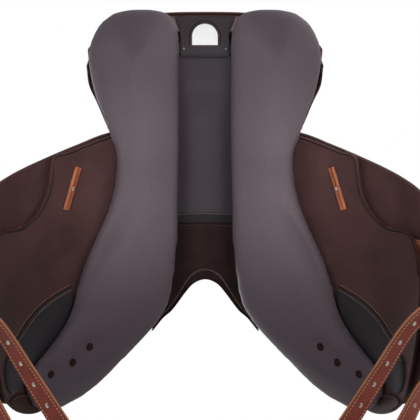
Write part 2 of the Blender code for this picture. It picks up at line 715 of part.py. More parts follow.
def build_tree_plates(add, cutters):
    """Steel plates, tree points and webbing of the tree."""
    def plate(y_front, y_rear, half, lifts):
        def surface(lift):
            def place(u, v):
                x, y = half * (2 * u - 1), mix(y_front, y_rear, v)
                return Vector((x, y, top_height(x, y, lift)))
            return place
        return slab_mesh(surface(lifts[1]), surface(lifts[0]), 10, 2)

    add("gullet_plate", plate(*GULLET_PLATE_Y, GULLET_PLATE_HALF, GULLET_PLATE_LIFTS),
        "spring_steel")
    add("head_plate", plate(*HEAD_PLATE_Y, HEAD_PLATE_HALF, HEAD_PLATE_LIFTS), "spring_steel")

    def cantle(rise):
        def place(u, v):
            return tree_point(CANTLE_PLATE_P * (2 * u - 1), mix(*CANTLE_PLATE_Q, v), rise)
        return place

    low = -2 * LAYER_GAP
    add("cantle_plate", slab_mesh(cantle(low), cantle(low - PLATE_STEEL), 8, 2), "spring_steel")

    def web(p_ends, q_ends, rise):
        return lambda u, v: tree_point(mix(*p_ends, u), mix(*q_ends, v), rise)

    for side_name, side in SIDES:
        add("seat_webbing_" + side_name,
            slab_mesh(web(LONG_WEB_P, LONG_WEB_Q, -LAYER_GAP),
                      web(LONG_WEB_P, LONG_WEB_Q, -LAYER_GAP - SEAT_WEBBING), 2, 14, side),
            "webbing")
    low = -LAYER_GAP - SEAT_WEBBING - 3 * GAP
    cross_p = (-CROSS_WEB_P, CROSS_WEB_P)
    add("seat_webbing_cross",
        slab_mesh(web(cross_p, CROSS_WEB_Q, low), web(cross_p, CROSS_WEB_Q, low - SEAT_WEBBING),
                  10, 2), "webbing")

    def point_layer(extra):
        def outer_lift(s, _y):
            return mix(POINT_TOP_LIFTS[1], POINT_LOW_LIFTS[1], ease(*POINT_STEP_S, s)) + extra

        def inner_lift(s, _y):
            return mix(POINT_TOP_LIFTS[0], POINT_LOW_LIFTS[0], ease(*POINT_STEP_S, s)) - extra
        first, last = POINT_OUTLINE[0], POINT_OUTLINE[-1]
        outline = [(row[0], row[1] - extra, row[2] + extra) for row in POINT_OUTLINE]
        outline[0] = (first[0] - extra, *outline[0][1:])
        outline[-1] = (last[0] + extra, *outline[-1][1:])
        return outline, inner_lift, outer_lift

    point_cutters = {}
    for side_name, side in SIDES:
        outline, inner, outer = point_layer(0.0)
        add("point_" + side_name, layer_mesh(outline, (inner, outer), 2, side, 12), "spring_steel")
        outline, inner, outer = point_layer(LAYER_GAP)
        cutter = layer_mesh(outline, (inner, outer), 2, side, 12)
        point_cutters[side_name] = add_cutter("point_pocket_" + side_name, cutter, cutters)

        def webbing(u, v, lift):
            return carrier(mix(*BILLET_WEBBING_S, v), mix(*BILLET_WEBBING_Y, u), lift)

        add("billet_webbing_" + side_name,
            slab_mesh(lambda u, v: webbing(u, v, WEBBING_LIFTS[1]),
                      lambda u, v: webbing(u, v, WEBBING_LIFTS[0]), 2, 6, side), "webbing")
    return point_cutters


def panel_point(u, v, grow=0.0):
    """Point on a left panel: u runs once round the section, v from the rear to the front tip."""
    inner = spline_point(PANEL_INNER, v)
    outer = spline_point(PANEL_OUTER, v)
    depths = spline_point(PANEL_DEPTHS, v)
    middle = (inner + outer) / 2
    half = (outer - inner) / 2
    ahead = (spline_point(PANEL_INNER, v + 0.01) + spline_point(PANEL_OUTER, v + 0.01)) / 2
    behind = (spline_point(PANEL_INNER, v - 0.01) + spline_point(PANEL_OUTER, v - 0.01)) / 2
    towards_horse = half.cross(ahead - behind).normalized()
    turn = 2 * math.pi * u
    across, down = math.cos(turn), math.sin(turn)
    depth = depths.x if down > 0 else depths.y
    swell = math.copysign(abs(down) ** PANEL_SQUARENESS, down) * (depth + grow)
    width = math.copysign(abs(across) ** PANEL_SQUARENESS, across)
    return middle + half * width + towards_horse * swell


PANEL_INNER = [Vector(row[0:3]) for row in PANEL_SECTIONS]
PANEL_OUTER = [Vector(row[3:6]) for row in PANEL_SECTIONS]
PANEL_DEPTHS = [Vector((row[6], row[7], 0)) for row in PANEL_SECTIONS]


def panel_mesh(side):
    """Stuffed panel: a lofted tube with closed ends, still without its tufts."""
    stations = [PANEL_FINE_FROM * i / PANEL_COARSE_STATIONS for i in range(PANEL_COARSE_STATIONS)]
    fine = PANEL_FINE_STATIONS
    stations += [mix(PANEL_FINE_FROM, 1.0, i / fine) for i in range(fine + 1)]
    bm = bmesh.new()
    rings = []
    for v in stations:
        ring = []
        for index in range(PANEL_POINTS_ROUND):
            point = panel_point((index + 0.5) / PANEL_POINTS_ROUND, v)
            ring.append(bm.verts.new((side * point.x, point.y, point.z)))
        rings.append([bm.edges.new((ring[i - 1], ring[i])) for i in range(PANEL_POINTS_ROUND)])
    for first, second in zip(rings, rings[1:]):
        bmesh.ops.bridge_loops(bm, edges=first + second)
    bmesh.ops.holes_fill(bm, edges=[edge for edge in bm.edges if edge.is_boundary])
    bmesh.ops.recalc_face_normals(bm, faces=bm.faces)
    return bm


def tuft_seats(bm, side):
    """Centre and outward direction of each sewn tuft, on the side that bears on the horse."""
    tree = BVHTree.FromBMesh(bm)
    seats = []
    for x, y in TUFT_PLACES:
        hit, normal, _index, _distance = tree.ray_cast(Vector((side * x, y, -1)), Vector((0, 0, 1)))
        seats.append((hit, normal))
    return seats


def press_dimples(bm, seats):
    for vert in bm.verts:
        shift = Vector((0, 0, 0))
        for centre, normal in seats:
            distance = (vert.co - centre).length
            shift -= normal * DIMPLE_DEPTH * math.exp(-(distance / DIMPLE_RADIUS) ** 2)
        vert.co += shift


def tuft_mesh(bm, seats):
    """Tufts sunk into their dimples, standing proud of every face around them."""
    tree = BVHTree.FromBMesh(bm)
    tufts = []
    for centre, normal in seats:
        side_way = normal.orthogonal().normalized()
        other_way = normal.cross(side_way)
        start = centre + normal * 0.05
        reaches = [tree.ray_cast(start, -normal)[3]]
        for index in range(12):
            turn = 2 * math.pi * index / 12
            offset = (side_way * math.cos(turn) + other_way * math.sin(turn)) * TUFT_RADIUS
            reaches.append(tree.ray_cast(start + offset, -normal)[3])
        foot = start - normal * (max(reaches) + TUFT_ROOT)
        height = max(reaches) - min(reaches) + TUFT_ROOT + TUFT_HEIGHT
        tufts.append(disc_mesh(foot, normal, TUFT_RADIUS, height, 8, 0.2))
    return join_meshes(tufts)


def build_panels(add, cutters, point_cutters):
    """Panel cushions with their tufts, cut flat where they lie on what carries them."""
    def bed(lift):
        def place(u, v):
            s = mix(BED_S[0], BED_S[1], v)
            y = rear_station(BED_Y[0], BED_Y[1], u, 1 / 8)
            point = carrier(s, y, lift)
            share = ease(REAR_BLEND_START, REAR_BLEND_END, y)
            table = REAR_TOP_Z + REAR_TOP_RISE * ease(REAR_BLEND_START, REAR_END_Y, y) + lift
            point.z = mix(point.z, table, share)
            return point
        return place

    for side_name, side in SIDES:
        bm = panel_mesh(side)
        seats = tuft_seats(bm, side)
        press_dimples(bm, seats)
        tufts = tuft_mesh(bm, seats)
        panel = add("panel_" + side_name, bm, "panel_leather")
        cut(panel, add_cutter("panel_bed_" + side_name,
                              slab_mesh(bed(0.09), bed(-LAYER_GAP), 16, 40, side), cutters))
        cut(panel, point_cutters[side_name])
        pad = layer_mesh(grown(KNEE_PAD_OUTLINE, LAYER_GAP),
                         (-KNEE_PAD_DEPTH - LAYER_GAP, 0.002), 2, side, 7)
        cut(panel, add_cutter("knee_pad_seat_" + side_name, pad, cutters))
        patch = layer_mesh(grown(CORNER_PATCH_OUTLINE, LAYER_GAP),
                           (-CORNER_PATCH_DEPTH - LAYER_GAP, 0.002), 2, side, 8)
        cut(panel, add_cutter("corner_patch_seat_" + side_name, patch, cutters))
        combine(panel, add_cutter("tufts_" + side_name, tufts, cutters), "UNION")


def grown(outline, margin):
    """Outline of s, front y and rear y, larger by a margin all round."""
    rows = [(s, front - margin, rear + margin) for s, front, rear in outline]
    rows[0] = (rows[0][0] - margin, *rows[0][1:])
    rows[-1] = (rows[-1][0] + margin, *rows[-1][1:])
    return rows


def build_channel(add, cutters):
    """Linings over the channel, the rear gusset, its blank badge and two rivets."""
    def lining(front, rear, half, lifts, rows):
        def surface(lift):
            def place(u, v):
                x = half * (2 * u - 1)
                bent = front < REAR_BLEND_START < rear
                y = rear_station(front, rear, v, 0.2) if bent else mix(front, rear, v)
                return Vector((x, y, top_height(x, y, lift)))
            return place
        return slab_mesh(surface(lifts[1]), surface(lifts[0]), 10, rows)

    def arch(lift):
        def place(u, v):
            foot = ARCH_FOOT_HALF_WIDTH * (2 * u - 1)
            x = mix(foot, LINING_HALF_WIDTH * (2 * u - 1), min(2 * v, 1.0))
            share = mix(ARCH_LEG_SHARE, 1.0, 2 * v - 1) if v > 0.5 else 2 * v * ARCH_LEG_SHARE
            y = mix(smooth(ARCH_EDGE, abs(foot)), CHANNEL_FRONT_Y - GAP, share)
            return Vector((x, y, top_height(x, y, lift)))
        return place

    def tab(lift):
        def place(u, v):
            y = mix(*GUSSET_Y, v)
            x = mix(*GUSSET_HALF_WIDTHS, ease(GUSSET_FLARE_Y, GUSSET_Y[1], y)) * (2 * u - 1)
            return Vector((x, y, top_height(x, y, lift)))
        return place

    half = LINING_HALF_WIDTH
    add("gullet_lining",
        slab_mesh(arch(LINING_LIFTS[1]), arch(LINING_LIFTS[0]), 16, 4), "arch_leather")
    add("channel_band",
        lining(CHANNEL_FRONT_Y, CHANNEL_BAND_Y, half, LINING_LIFTS, 1), "panel_leather")
    add("channel_lining",
        lining(CHANNEL_BAND_Y + GAP, CHANNEL_REAR_Y, half, LINING_LIFTS, 10), "channel_leather")

    gusset_lifts = (-LAYER_GAP - GUSSET_THICKNESS, -LAYER_GAP)
    gusset = add("rear_gusset", slab_mesh(tab(gusset_lifts[1]), tab(gusset_lifts[0]), 6, 4),
                 "panel_leather")

    under = gusset_lifts[0] - GAP

    def badge(lift):
        def place(u, v):
            y = BADGE_FRONT_Y + BADGE_LENGTH * v
            straight = BADGE_LENGTH - BADGE_HALF_WIDTH
            over = max(BADGE_LENGTH * v - straight, 0.0) / BADGE_HALF_WIDTH
            half_width = BADGE_HALF_WIDTH * math.sqrt(max(1 - min(over, 0.985) ** 2, 0.0))
            x = half_width * (2 * u - 1)
            return Vector((x, y, top_height(x, y, lift)))
        return place

    add("rear_badge", slab_mesh(badge(under), badge(under - BADGE_THICKNESS), 2, 10),
        "badge_white")
    rivets = []
    for _name, side in SIDES:
        x = side * GUSSET_RIVET_X
        foot = (x, GUSSET_RIVET_Y, top_height(x, GUSSET_RIVET_Y, under) + GUSSET_THICKNESS / 2)
        rivets.append(disc_mesh(foot, (0, 0, -1), GUSSET_RIVET_RADIUS,
                                GUSSET_THICKNESS / 2 + GUSSET_RIVET_HEIGHT, 10, 0.2))
    combine(gusset, add_cutter("gusset_rivets", join_meshes(rivets), cutters), "UNION")


def build_flaps(add, add_moving):
    """Sweat flaps with their pads, main flaps and what lies between them."""
    for name, side in SIDES:
        add("sweat_flap_" + name,
            layer_mesh(SWEAT_FLAP_OUTLINE, SWEAT_LIFTS, SWEAT_FLAP_COLUMNS, side, 17),
            "flap_leather")
        inner = -GAP
        add("knee_pad_" + name,
            layer_mesh(KNEE_PAD_OUTLINE, (-KNEE_PAD_DEPTH, inner), 2, side, 7), "arch_leather")
        add("corner_patch_" + name,
            layer_mesh(CORNER_PATCH_OUTLINE, (-CORNER_PATCH_DEPTH, inner), 2, side, 8),
            "arch_leather")
        for block, outline in (("knee_block_", KNEE_BLOCK_OUTLINE),
                               ("thigh_block_", THIGH_BLOCK_OUTLINE)):
            add(block + name, block_mesh(outline, side), "flap_leather")
        add("flap_top_" + name, layer_mesh(FLAP_TOP_OUTLINE, FLAP_LIFTS, 5, side, 6),
            "flap_leather")
        pivot = mirrored(carrier(FLAP_BEND_S, 0.0, FLAP_LIFTS[1]), side)
        add_moving("flap_" + name, layer_mesh(FLAP_OUTLINE, FLAP_LIFTS, 5, side, 20),
                   "flap_leather", pivot)
        add_moving("skirt_" + name, skirt_mesh(side), "seat_leather",
                   mirrored(skirt_hinge(0.0), side))


def mirrored(point, side):
    return Vector((side * point.x, point.y, point.z))


def block_mesh(outline, side):
    """Soft block with a crown, thin at its edges."""
    lowest = WEBBING_LIFTS[0]
    highest = FLAP_LIFTS[0] - GAP

    def top(u, v):
        s, front, rear = row_at(outline, v)
        crown = (math.sin(math.pi * u) * math.sin(math.pi * v)) ** BLOCK_FLATNESS
        return carrier(s, mix(front, rear, u), mix(lowest + BLOCK_EDGE, highest, crown))

    def base(u, v):
        s, front, rear = row_at(outline, v)
        return carrier(s, mix(front, rear, u), lowest)

    return slab_mesh(top, base, 4, 6, side)


def skirt_top_s(y):
    """Place s of the skirt's top edge, which runs straight beside the seat's waist."""
    (front_x, front_y), (rear_x, rear_y) = SKIRT_TOP
    x = mix(front_x, rear_x, (y - front_y) / (rear_y - front_y))
    return BACK_RADIUS * (math.asin(x / (BACK_RADIUS + SKIRT_LIFTS[0][1])) - SHOULDER_ANGLE)


def skirt_hinge(y):
    """Point on the left skirt's hinge line, along the outer side of its top edge."""
    return carrier(skirt_top_s(y), y, SKIRT_LIFTS[0][1] + SKIRT_LEATHER)


def skirt_mesh(side):
    """Skirt, bulged over the stirrup bar."""
    def surface(extra):
        def place(u, v):
            y = mix(smooth(SKIRT_OUTLINE, v), smooth(SKIRT_OUTLINE, v, 2), u)
            s = mix(skirt_top_s(y), SKIRT_END_S, v)
            return carrier(s, y, smooth(SKIRT_LIFTS, v) + extra)
        return place

    return slab_mesh(surface(SKIRT_LEATHER), surface(0.0), 7, 9, side)


def keeper_point(along, across, lift):
    """Point on a billet keeper, by distances along and across its middle line."""
    start, end = Vector(KEEPER_TOP), Vector(KEEPER_BOTTOM)
    way = (end - start).normalized()
    place = start + way * along + Vector((way.y, -way.x)) * across
    return carrier(place.x, place.y, lift)


def build_keepers(add, cutters):
    """Billet keepers on the inner face of the sweat flaps, each with a stud."""
    length = (Vector(KEEPER_BOTTOM) - Vector(KEEPER_TOP)).length
    for name, side in SIDES:
        def surface(lift):
            return lambda u, v: keeper_point(length * v, KEEPER_WIDTH * (u - 0.5), lift)

        keeper = add("billet_keeper_" + name,
                     slab_mesh(surface(-GAP), surface(-GAP - KEEPER_THICKNESS), 2, 8, side),
                     "keeper_leather")
        foot = keeper_point(length / 2, 0.0, -GAP - KEEPER_THICKNESS / 2)
        inward = -carrier_normal((KEEPER_TOP[0] + KEEPER_BOTTOM[0]) / 2)
        stud = disc_mesh(mirrored(foot, side), mirrored(inward, side), KEEPER_STUD_RADIUS,
                         KEEPER_THICKNESS / 2 + KEEPER_STUD_HEIGHT, 12, 0.2)
        combine(keeper, add_cutter("keeper_stud_" + name, stud, cutters), "UNION")


def billet_line(which):
    """Middle line of a left billet as rows of length, x, y, z and the outward direction."""
    drift = BILLET_DRIFT[which]
    points, normals = [], []
    for index in range(BILLET_DRIFT_STEPS + 1):
        s = mix(drift[0][0], drift[-1][0], index / BILLET_DRIFT_STEPS)
        points.append(carrier(s, smooth(drift, s), sum(BILLET_LIFTS) / 2))
        normals.append(carrier_normal(s))
    free = [Vector(point) for point in BILLET_FREE_POINTS[which]]
    last_normal, end_normal = normals[-1], Vector(BILLET_END_NORMAL).normalized()
    for index, point in enumerate(free):
        points.append(point)
        normals.append(mix(last_normal, end_normal, (index + 1) / len(free)).normalized())
    rows, length = [], 0.0
    for index, (point, normal) in enumerate(zip(points, normals)):
        if index:
            length += (point - points[index - 1]).length
        rows.append((length, *point, *normal))
    return rows


def billet_frame(rows, at):
    """Middle point, outward direction and sideways direction at a length along a billet."""
    def place(length):
        return Vector([smooth(rows, length, column) for column in (1, 2, 3)])

    along = (place(at + 0.002) - place(at - 0.002)).normalized()
    outward = Vector([smooth(rows, at, column) for column in (4, 5, 6)])
    outward = (outward - along * outward.dot(along)).normalized()
    return place(at), outward, along.cross(outward)


def build_billets(add_moving, cutters):
    """Four billets with punched holes, each turning on its seam at the webbing."""
    for name, side in SIDES:
        for which in ("front", "rear"):
            rows = billet_line(which)
            total = rows[-1][0]

            def surface(lift):
                def place(u, v):
                    at = total * (1 - (1 - v) ** BILLET_TIP_CROWDING)
                    middle, outward, sideways = billet_frame(rows, at)
                    ends = min(at, total - at) / BILLET_ROUNDING
                    width = BILLET_WIDTH * (1 - 0.62 * max(1 - ends, 0.0) ** 2)
                    return middle + sideways * width * (u - 0.5) + outward * lift
                return place

            bm = slab_mesh(surface(BILLET_LEATHER / 2), surface(-BILLET_LEATHER / 2),
                           BILLET_COLUMNS, BILLET_STATIONS, side)
            pivot = mirrored(carrier(BILLET_PIVOT_S, BILLET_Y[which], sum(BILLET_LIFTS) / 2), side)
            strap = add_moving("billet_" + which + "_" + name, bm, "billet_leather", pivot)
            punches = []
            for index in range(BILLET_HOLE_COUNT):
                at = total - BILLET_TIP_MARGIN[which] - BILLET_HOLE_PITCH * index
                middle, outward, _sideways = billet_frame(rows, at)
                foot = mirrored(middle - outward * BILLET_LEATHER, side)
                punches.append(disc_mesh(foot, mirrored(outward, side), BILLET_HOLE_WIDTH / 2,
                                         2 * BILLET_LEATHER, 8))
            cut(strap, add_cutter("punch_" + which + "_" + name, join_meshes(punches), cutters))


def prism_mesh(profile, reach):
    """Prism from a ring of points, pushed out by a vector."""
    bm = bmesh.new()
    bmesh.ops.create_circle(bm, cap_ends=True, segments=len(profile), radius=1.0)
    for vert, point in zip(bm.verts, profile):
        vert.co = point
    walls = bmesh.ops.extrude_face_region(bm, geom=bm.faces[:])
    moved = [item for item in walls["geom"] if isinstance(item, bmesh.types.BMVert)]
    bmesh.ops.translate(bm, verts=moved, vec=reach)
    bmesh.ops.recalc_face_normals(bm, faces=bm.faces)
    return bm


def bar_point(down, y, out, side):
    """Point near the rod, by distances down the side and outwards from the rod's middle."""
    point = carrier(BAR_ROD_S, y, BAR_ROD_LIFT + out)
    angle = carrier_angle(BAR_ROD_S)
    point += Vector((math.cos(angle), 0, -math.sin(angle))) * down
    return mirrored(point, side)


def plate_lift(s):
    """Lift of a stirrup bar's plate, which lies on the tree's top."""
    return TREE_LIFT + TREE_THICKNESS * math.cos(carrier_angle(s)) + LAYER_GAP


def build_bars(add, add_moving, cutters):
    """Stirrup bars: plate, arm, rod and pin in one, with a catch hinged at the rear end."""
    catch_y = BAR_ROD_Y[1] + CATCH_CLEARANCE + CATCH_HALF_DEPTH
    for name, side in SIDES:
        def plate(rise):
            def place(u, v):
                s = mix(*BAR_PLATE_S, v)
                return carrier(s, mix(*BAR_PLATE_Y, u), plate_lift(s) + rise)
            return place

        bar = add("stirrup_bar_" + name,
                  slab_mesh(plate(BAR_STEEL), plate(0.0), 2, 2, side),
                  "spring_steel")

        def arm(offset):
            def place(u, v):
                start = BAR_PLATE_S[1] - BAR_ARM_OVERLAP
                s = mix(start, BAR_ROD_S, v)
                middle = mix(plate_lift(start) + BAR_STEEL / 2, BAR_ROD_LIFT, ease(0.0, 1.0, v))
                half = mix(BAR_STEEL / 2 - 0.0001, BAR_ARM_HALF, v)
                return carrier(s, mix(*BAR_ARM_Y, u), middle + half * offset)
            return place

        pieces = [("arm_", slab_mesh(arm(1.0), arm(-1.0), 1, 5, side))]
        rod = [bar_point(0, y, 0, side) for y in BAR_ROD_Y]
        pieces.append(("rod_", disc_mesh(rod[0], (0, 1, 0), BAR_ROD_RADIUS,
                                         BAR_ROD_Y[1] - BAR_ROD_Y[0], 10)))
        half = BAR_TONGUE_WIDTH / 2
        tongue = [bar_point(-half, y, out, side) for y, out in (
            (BAR_ROD_Y[1] - 0.002, -0.0022), (BAR_ROD_Y[1] + BAR_TONGUE_LENGTH, -0.0022),
            (BAR_ROD_Y[1] + BAR_TONGUE_LENGTH, 0.0022), (BAR_ROD_Y[1] - 0.002, 0.0022))]
        across = bar_point(1, 0, 0, side) - bar_point(0, 0, 0, side)
        pieces.append(("tongue_", prism_mesh(tongue, across * BAR_TONGUE_WIDTH)))
        pin_foot = bar_point(-CATCH_WIDTH / 2, catch_y, 0, side)
        pieces.append(("pin_", disc_mesh(pin_foot, across, CATCH_PIN_RADIUS, CATCH_WIDTH, 8)))
        rivets = []
        for s, y in BAR_RIVET_PLACES:
            foot = carrier(s, y, plate_lift(s) + BAR_STEEL / 2)
            rivets.append(disc_mesh(mirrored(foot, side), mirrored(carrier_normal(s), side),
                                    BAR_RIVET_RADIUS, BAR_STEEL / 2 + BAR_RIVET_HEIGHT, 8, 0.4))
        pieces.append(("bar_rivets_", join_meshes(rivets)))
        for prefix, bm in pieces:
            combine(bar, add_cutter(prefix + name, bm, cutters), "UNION")

        profile = []
        for index in range(9):
            turn = math.radians(90 + 22.5 * index)
            profile.append((CATCH_HALF_DEPTH * math.cos(turn), CATCH_HALF_DEPTH * math.sin(turn)))
        profile += [(CATCH_LENGTH - 0.002, -CATCH_HALF_DEPTH), (CATCH_LENGTH, 0.0),
                    (CATCH_LENGTH, CATCH_HALF_DEPTH + CATCH_LIP),
                    (CATCH_LENGTH - 0.0025, CATCH_HALF_DEPTH + CATCH_LIP),
                    (CATCH_LENGTH - 0.0045, CATCH_HALF_DEPTH)]
        ring = [bar_point(-CATCH_WIDTH / 2, catch_y + y, out, side) for y, out in profile]
        pivot = bar_point(0, catch_y, 0, side)
        catch = add_moving("bar_catch_" + name, prism_mesh(ring, across * CATCH_WIDTH),
                           "bright_steel", pivot)
        wide = BAR_TONGUE_WIDTH / 2 + CATCH_CLEARANCE
        slot = [bar_point(-wide, catch_y + y, out, side) for y, out in (
            (-0.006, -0.006), (CATCH_SLOT_DEPTH, -0.006), (CATCH_SLOT_DEPTH, 0.006),
            (-0.006, 0.006))]
        cut(catch, add_cutter("catch_slot_" + name, prism_mesh(slot, across * 2 * wide), cutters))
        hole_foot = bar_point(-CATCH_WIDTH, catch_y, 0, side)
        hole = disc_mesh(hole_foot, across, CATCH_PIN_RADIUS + CATCH_CLEARANCE,
                         2 * CATCH_WIDTH, 8)
        cut(catch, add_cutter("catch_hole_" + name, hole, cutters))


def dee_bodies(seat, down, out):
    """Chape, its bored hole, ring and hinge point of one dee lying on a surface at seat."""
    along = down.cross(out)
    eye = DEE_WIRE_RADIUS + DEE_CLEARANCE
    wall = eye + CHAPE_WALL
    hinge = seat + out * (wall + LAYER_GAP)

    profile = [(-CHAPE_LENGTH, -wall), (-CHAPE_LENGTH, -wall + CHAPE_TAIL), (-wall, wall * 0.9)]
    for index in range(9):
        turn = math.radians(90 - 22.5 * index)
        profile.append((wall * math.cos(turn), wall * math.sin(turn)))
    half = along * CHAPE_WIDTH / 2
    ring = [hinge + down * a + out * b - half for a, b in profile]
    chape = prism_mesh(ring, 2 * half)
    hole = disc_mesh(hinge - 2 * half, along, eye, 2 * CHAPE_WIDTH, 12)

    line = []
    for share in (-0.5, 0.0, 0.5):
        line.append(hinge + along * DEE_WIDTH * share)
    for index in range(1, 12):
        turn = math.pi * index / 12
        across = DEE_WIDTH / 2 * math.copysign(abs(math.cos(turn)) ** 0.75, math.cos(turn))
        line.append(hinge + along * across + down * DEE_DROP * math.sin(turn) ** 0.75)
    return chape, hole, tube_mesh(line, DEE_WIRE_RADIUS, True, 1), hinge


def build_dees(add, add_moving, cutters):
    """Dee rings with their chapes, in front on the flap tops and behind on the cantle."""
    for place in ("front", "rear"):
        for name, side in SIDES:
            if place == "front":
                s, y = FRONT_DEE_PLACE
                angle = carrier_angle(s)
                seat = carrier(s, y, FLAP_LIFTS[1])
                down = Vector((math.cos(angle), 0, -math.sin(angle)))
                out = carrier_normal(s)
            else:
                seat, down, out = cantle_place(REAR_DEE_T, REAR_DEE_SHARE)
            tab, hole, ring, hinge = dee_bodies(mirrored(seat, side), mirrored(down, side),
                                                mirrored(out, side))
            add_moving(place + "_dee_" + name, ring, "bright_steel", hinge)
            chape = add(place + "_chape_" + name, tab, "seat_leather")
            cut(chape, add_cutter(place + "_dee_hole_" + name, hole, cutters))


def build_nails(add):
    """Saddle nails with domed heads on the flap tops."""
    s, y = NAIL_PLACE
    foot = carrier(s, y, FLAP_LIFTS[1] + GAP)
    for name, side in SIDES:
        nail = disc_mesh(mirrored(foot, side), mirrored(carrier_normal(s), side), NAIL_RADIUS,
                         NAIL_HEIGHT, 12, 0.45)
        add("saddle_nail_" + name, nail, "bright_steel")


def main():
    for obj in list(bpy.data.objects):
        bpy.data.objects.remove(obj)
    parts = new_collection(COLLECTION_NAME, False)
    cutters = new_collection(CUTTER_COLLECTION_NAME, True)
    materials = {}
    for name, (colour, roughness) in MATERIAL_FINISHES.items():
        materials[name] = make_material(name, colour, roughness)
    for name, (colour, roughness) in METAL_FINISHES.items():
        materials[name] = make_material(name, colour, roughness, 1.0)

    def add(name, bm, finish):
        return finish_object(name, bm, materials[finish], parts)

    def add_moving(name, bm, finish, pivot):
        """Object with its origin on its joint axis."""
        bmesh.ops.translate(bm, verts=bm.verts, vec=-pivot)
        obj = finish_object(name, bm, materials[finish], parts)
        obj.location = pivot
        return obj

    build_seat(add)
    build_seat_edges(add)
    point_cutters = build_tree_plates(add, cutters)
    build_panels(add, cutters, point_cutters)
    build_channel(add, cutters)
    build_flaps(add, add_moving)
    build_keepers(add, cutters)
    build_billets(add_moving, cutters)
    build_bars(add, add_moving, cutters)
    build_dees(add, add_moving, cutters)
    build_nails(add)
    for material in materials.values():
        bpy.data.materials.remove(material)


if __name__ == "__main__":
    main()
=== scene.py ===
"""Jumping saddle dressed for a close look: leather, stitching, stuffing and metal.

The saddle's layers lie on one curved carrier, as in the CAD model. Every piece is made on
the rider's left and mirrored for the right.
"""
import json
import math

import bmesh
import bpy
from mathutils import Matrix, Vector
from mathutils.bvhtree import BVHTree

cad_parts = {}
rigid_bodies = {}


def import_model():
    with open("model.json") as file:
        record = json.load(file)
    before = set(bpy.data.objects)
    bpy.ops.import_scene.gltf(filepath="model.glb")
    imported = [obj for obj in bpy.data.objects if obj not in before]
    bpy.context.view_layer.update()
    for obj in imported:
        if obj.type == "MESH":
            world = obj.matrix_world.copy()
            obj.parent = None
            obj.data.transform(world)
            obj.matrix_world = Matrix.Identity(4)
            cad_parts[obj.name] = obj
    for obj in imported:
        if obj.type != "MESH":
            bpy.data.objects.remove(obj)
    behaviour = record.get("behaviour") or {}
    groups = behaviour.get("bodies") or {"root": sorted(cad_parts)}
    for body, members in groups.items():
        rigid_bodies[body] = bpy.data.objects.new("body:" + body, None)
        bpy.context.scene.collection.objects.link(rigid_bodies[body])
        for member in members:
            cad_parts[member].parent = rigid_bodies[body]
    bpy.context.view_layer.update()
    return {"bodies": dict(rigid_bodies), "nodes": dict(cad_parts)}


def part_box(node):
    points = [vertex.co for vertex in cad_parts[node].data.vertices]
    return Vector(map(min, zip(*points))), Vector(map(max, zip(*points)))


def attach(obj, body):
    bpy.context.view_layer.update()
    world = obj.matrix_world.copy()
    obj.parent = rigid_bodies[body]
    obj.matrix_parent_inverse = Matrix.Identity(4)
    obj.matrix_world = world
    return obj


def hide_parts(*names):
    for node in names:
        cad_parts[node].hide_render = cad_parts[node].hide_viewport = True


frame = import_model()

bl_info = {
    "name": "Jumping Saddle",
    "version": (1, 0, 0),
    "blender": (4, 5, 0),
    "location": "3D View > Sidebar > Saddle",
    "description": "Dresses the jumping saddle with leather, stitching and metal",
    "category": "Add Mesh"}

SIDES = (("left", 1), ("right", -1))
ROOT = "saddle"


def millimetres(*rows):
    """Rows of lengths, which are written in millimetres, in metres."""
    return [[round(value / 1000, 7) for value in row] for row in rows]


# Step for slopes, a stitch's height and sink as shares of its width, its turn, and how
# many stitches are made at once
SLOPE_STEP = 0.002
STITCH_HEIGHT = 0.42
STITCH_SINK = 0.25
STITCH_TURN = Matrix.Rotation(math.radians(90), 4, "Y")
STITCH_BATCH = 24

# Length, pitch and width of the stitches that differ from the common ones
PAD_STITCH = (0.0022, 0.0033, 0.0008)
LINING_STITCH = (0.0024, 0.0034)
WHIP_STITCH = (0.0042, 0.006, 0.001)
STRAP_STITCH = (0.003, 0.0042, 0.0011)
KEEPER_STITCH = (0.0024, 0.0034, 0.0009)
TAB_STITCH = (0.0016, 0.0023, 0.0007)

# Carrier, as in the CAD model
SHOULDER_X = 0.105
SHOULDER_Z = -0.012
SHOULDER_ANGLE = math.radians(38)
SIDE_RADIUS = 0.5184
REAR_BLEND = (0.125, 0.195)
REAR_TOP_Z = 0.012
REAR_TOP_RISE = 0.02
REAR_END_Y = 0.278
BACK_RADIUS = SHOULDER_X / math.sin(SHOULDER_ANGLE)
BACK_CENTRE_Z = SHOULDER_Z - BACK_RADIUS * math.cos(SHOULDER_ANGLE)
SIDE_CENTRE_X = SHOULDER_X - SIDE_RADIUS * math.sin(SHOULDER_ANGLE)
SIDE_CENTRE_Z = SHOULDER_Z - SIDE_RADIUS * math.cos(SHOULDER_ANGLE)

# Lifts of the layers above the carrier
SKIN = 0.0001
SWEAT_LIFTS = (0.0, 0.004)
LINING_LIFTS = (0.0003, 0.0027)
BILLET_LIFT = 0.0087
FLAP_LIFTS = (0.0123, 0.0168)
BED_LIFT = -0.0006

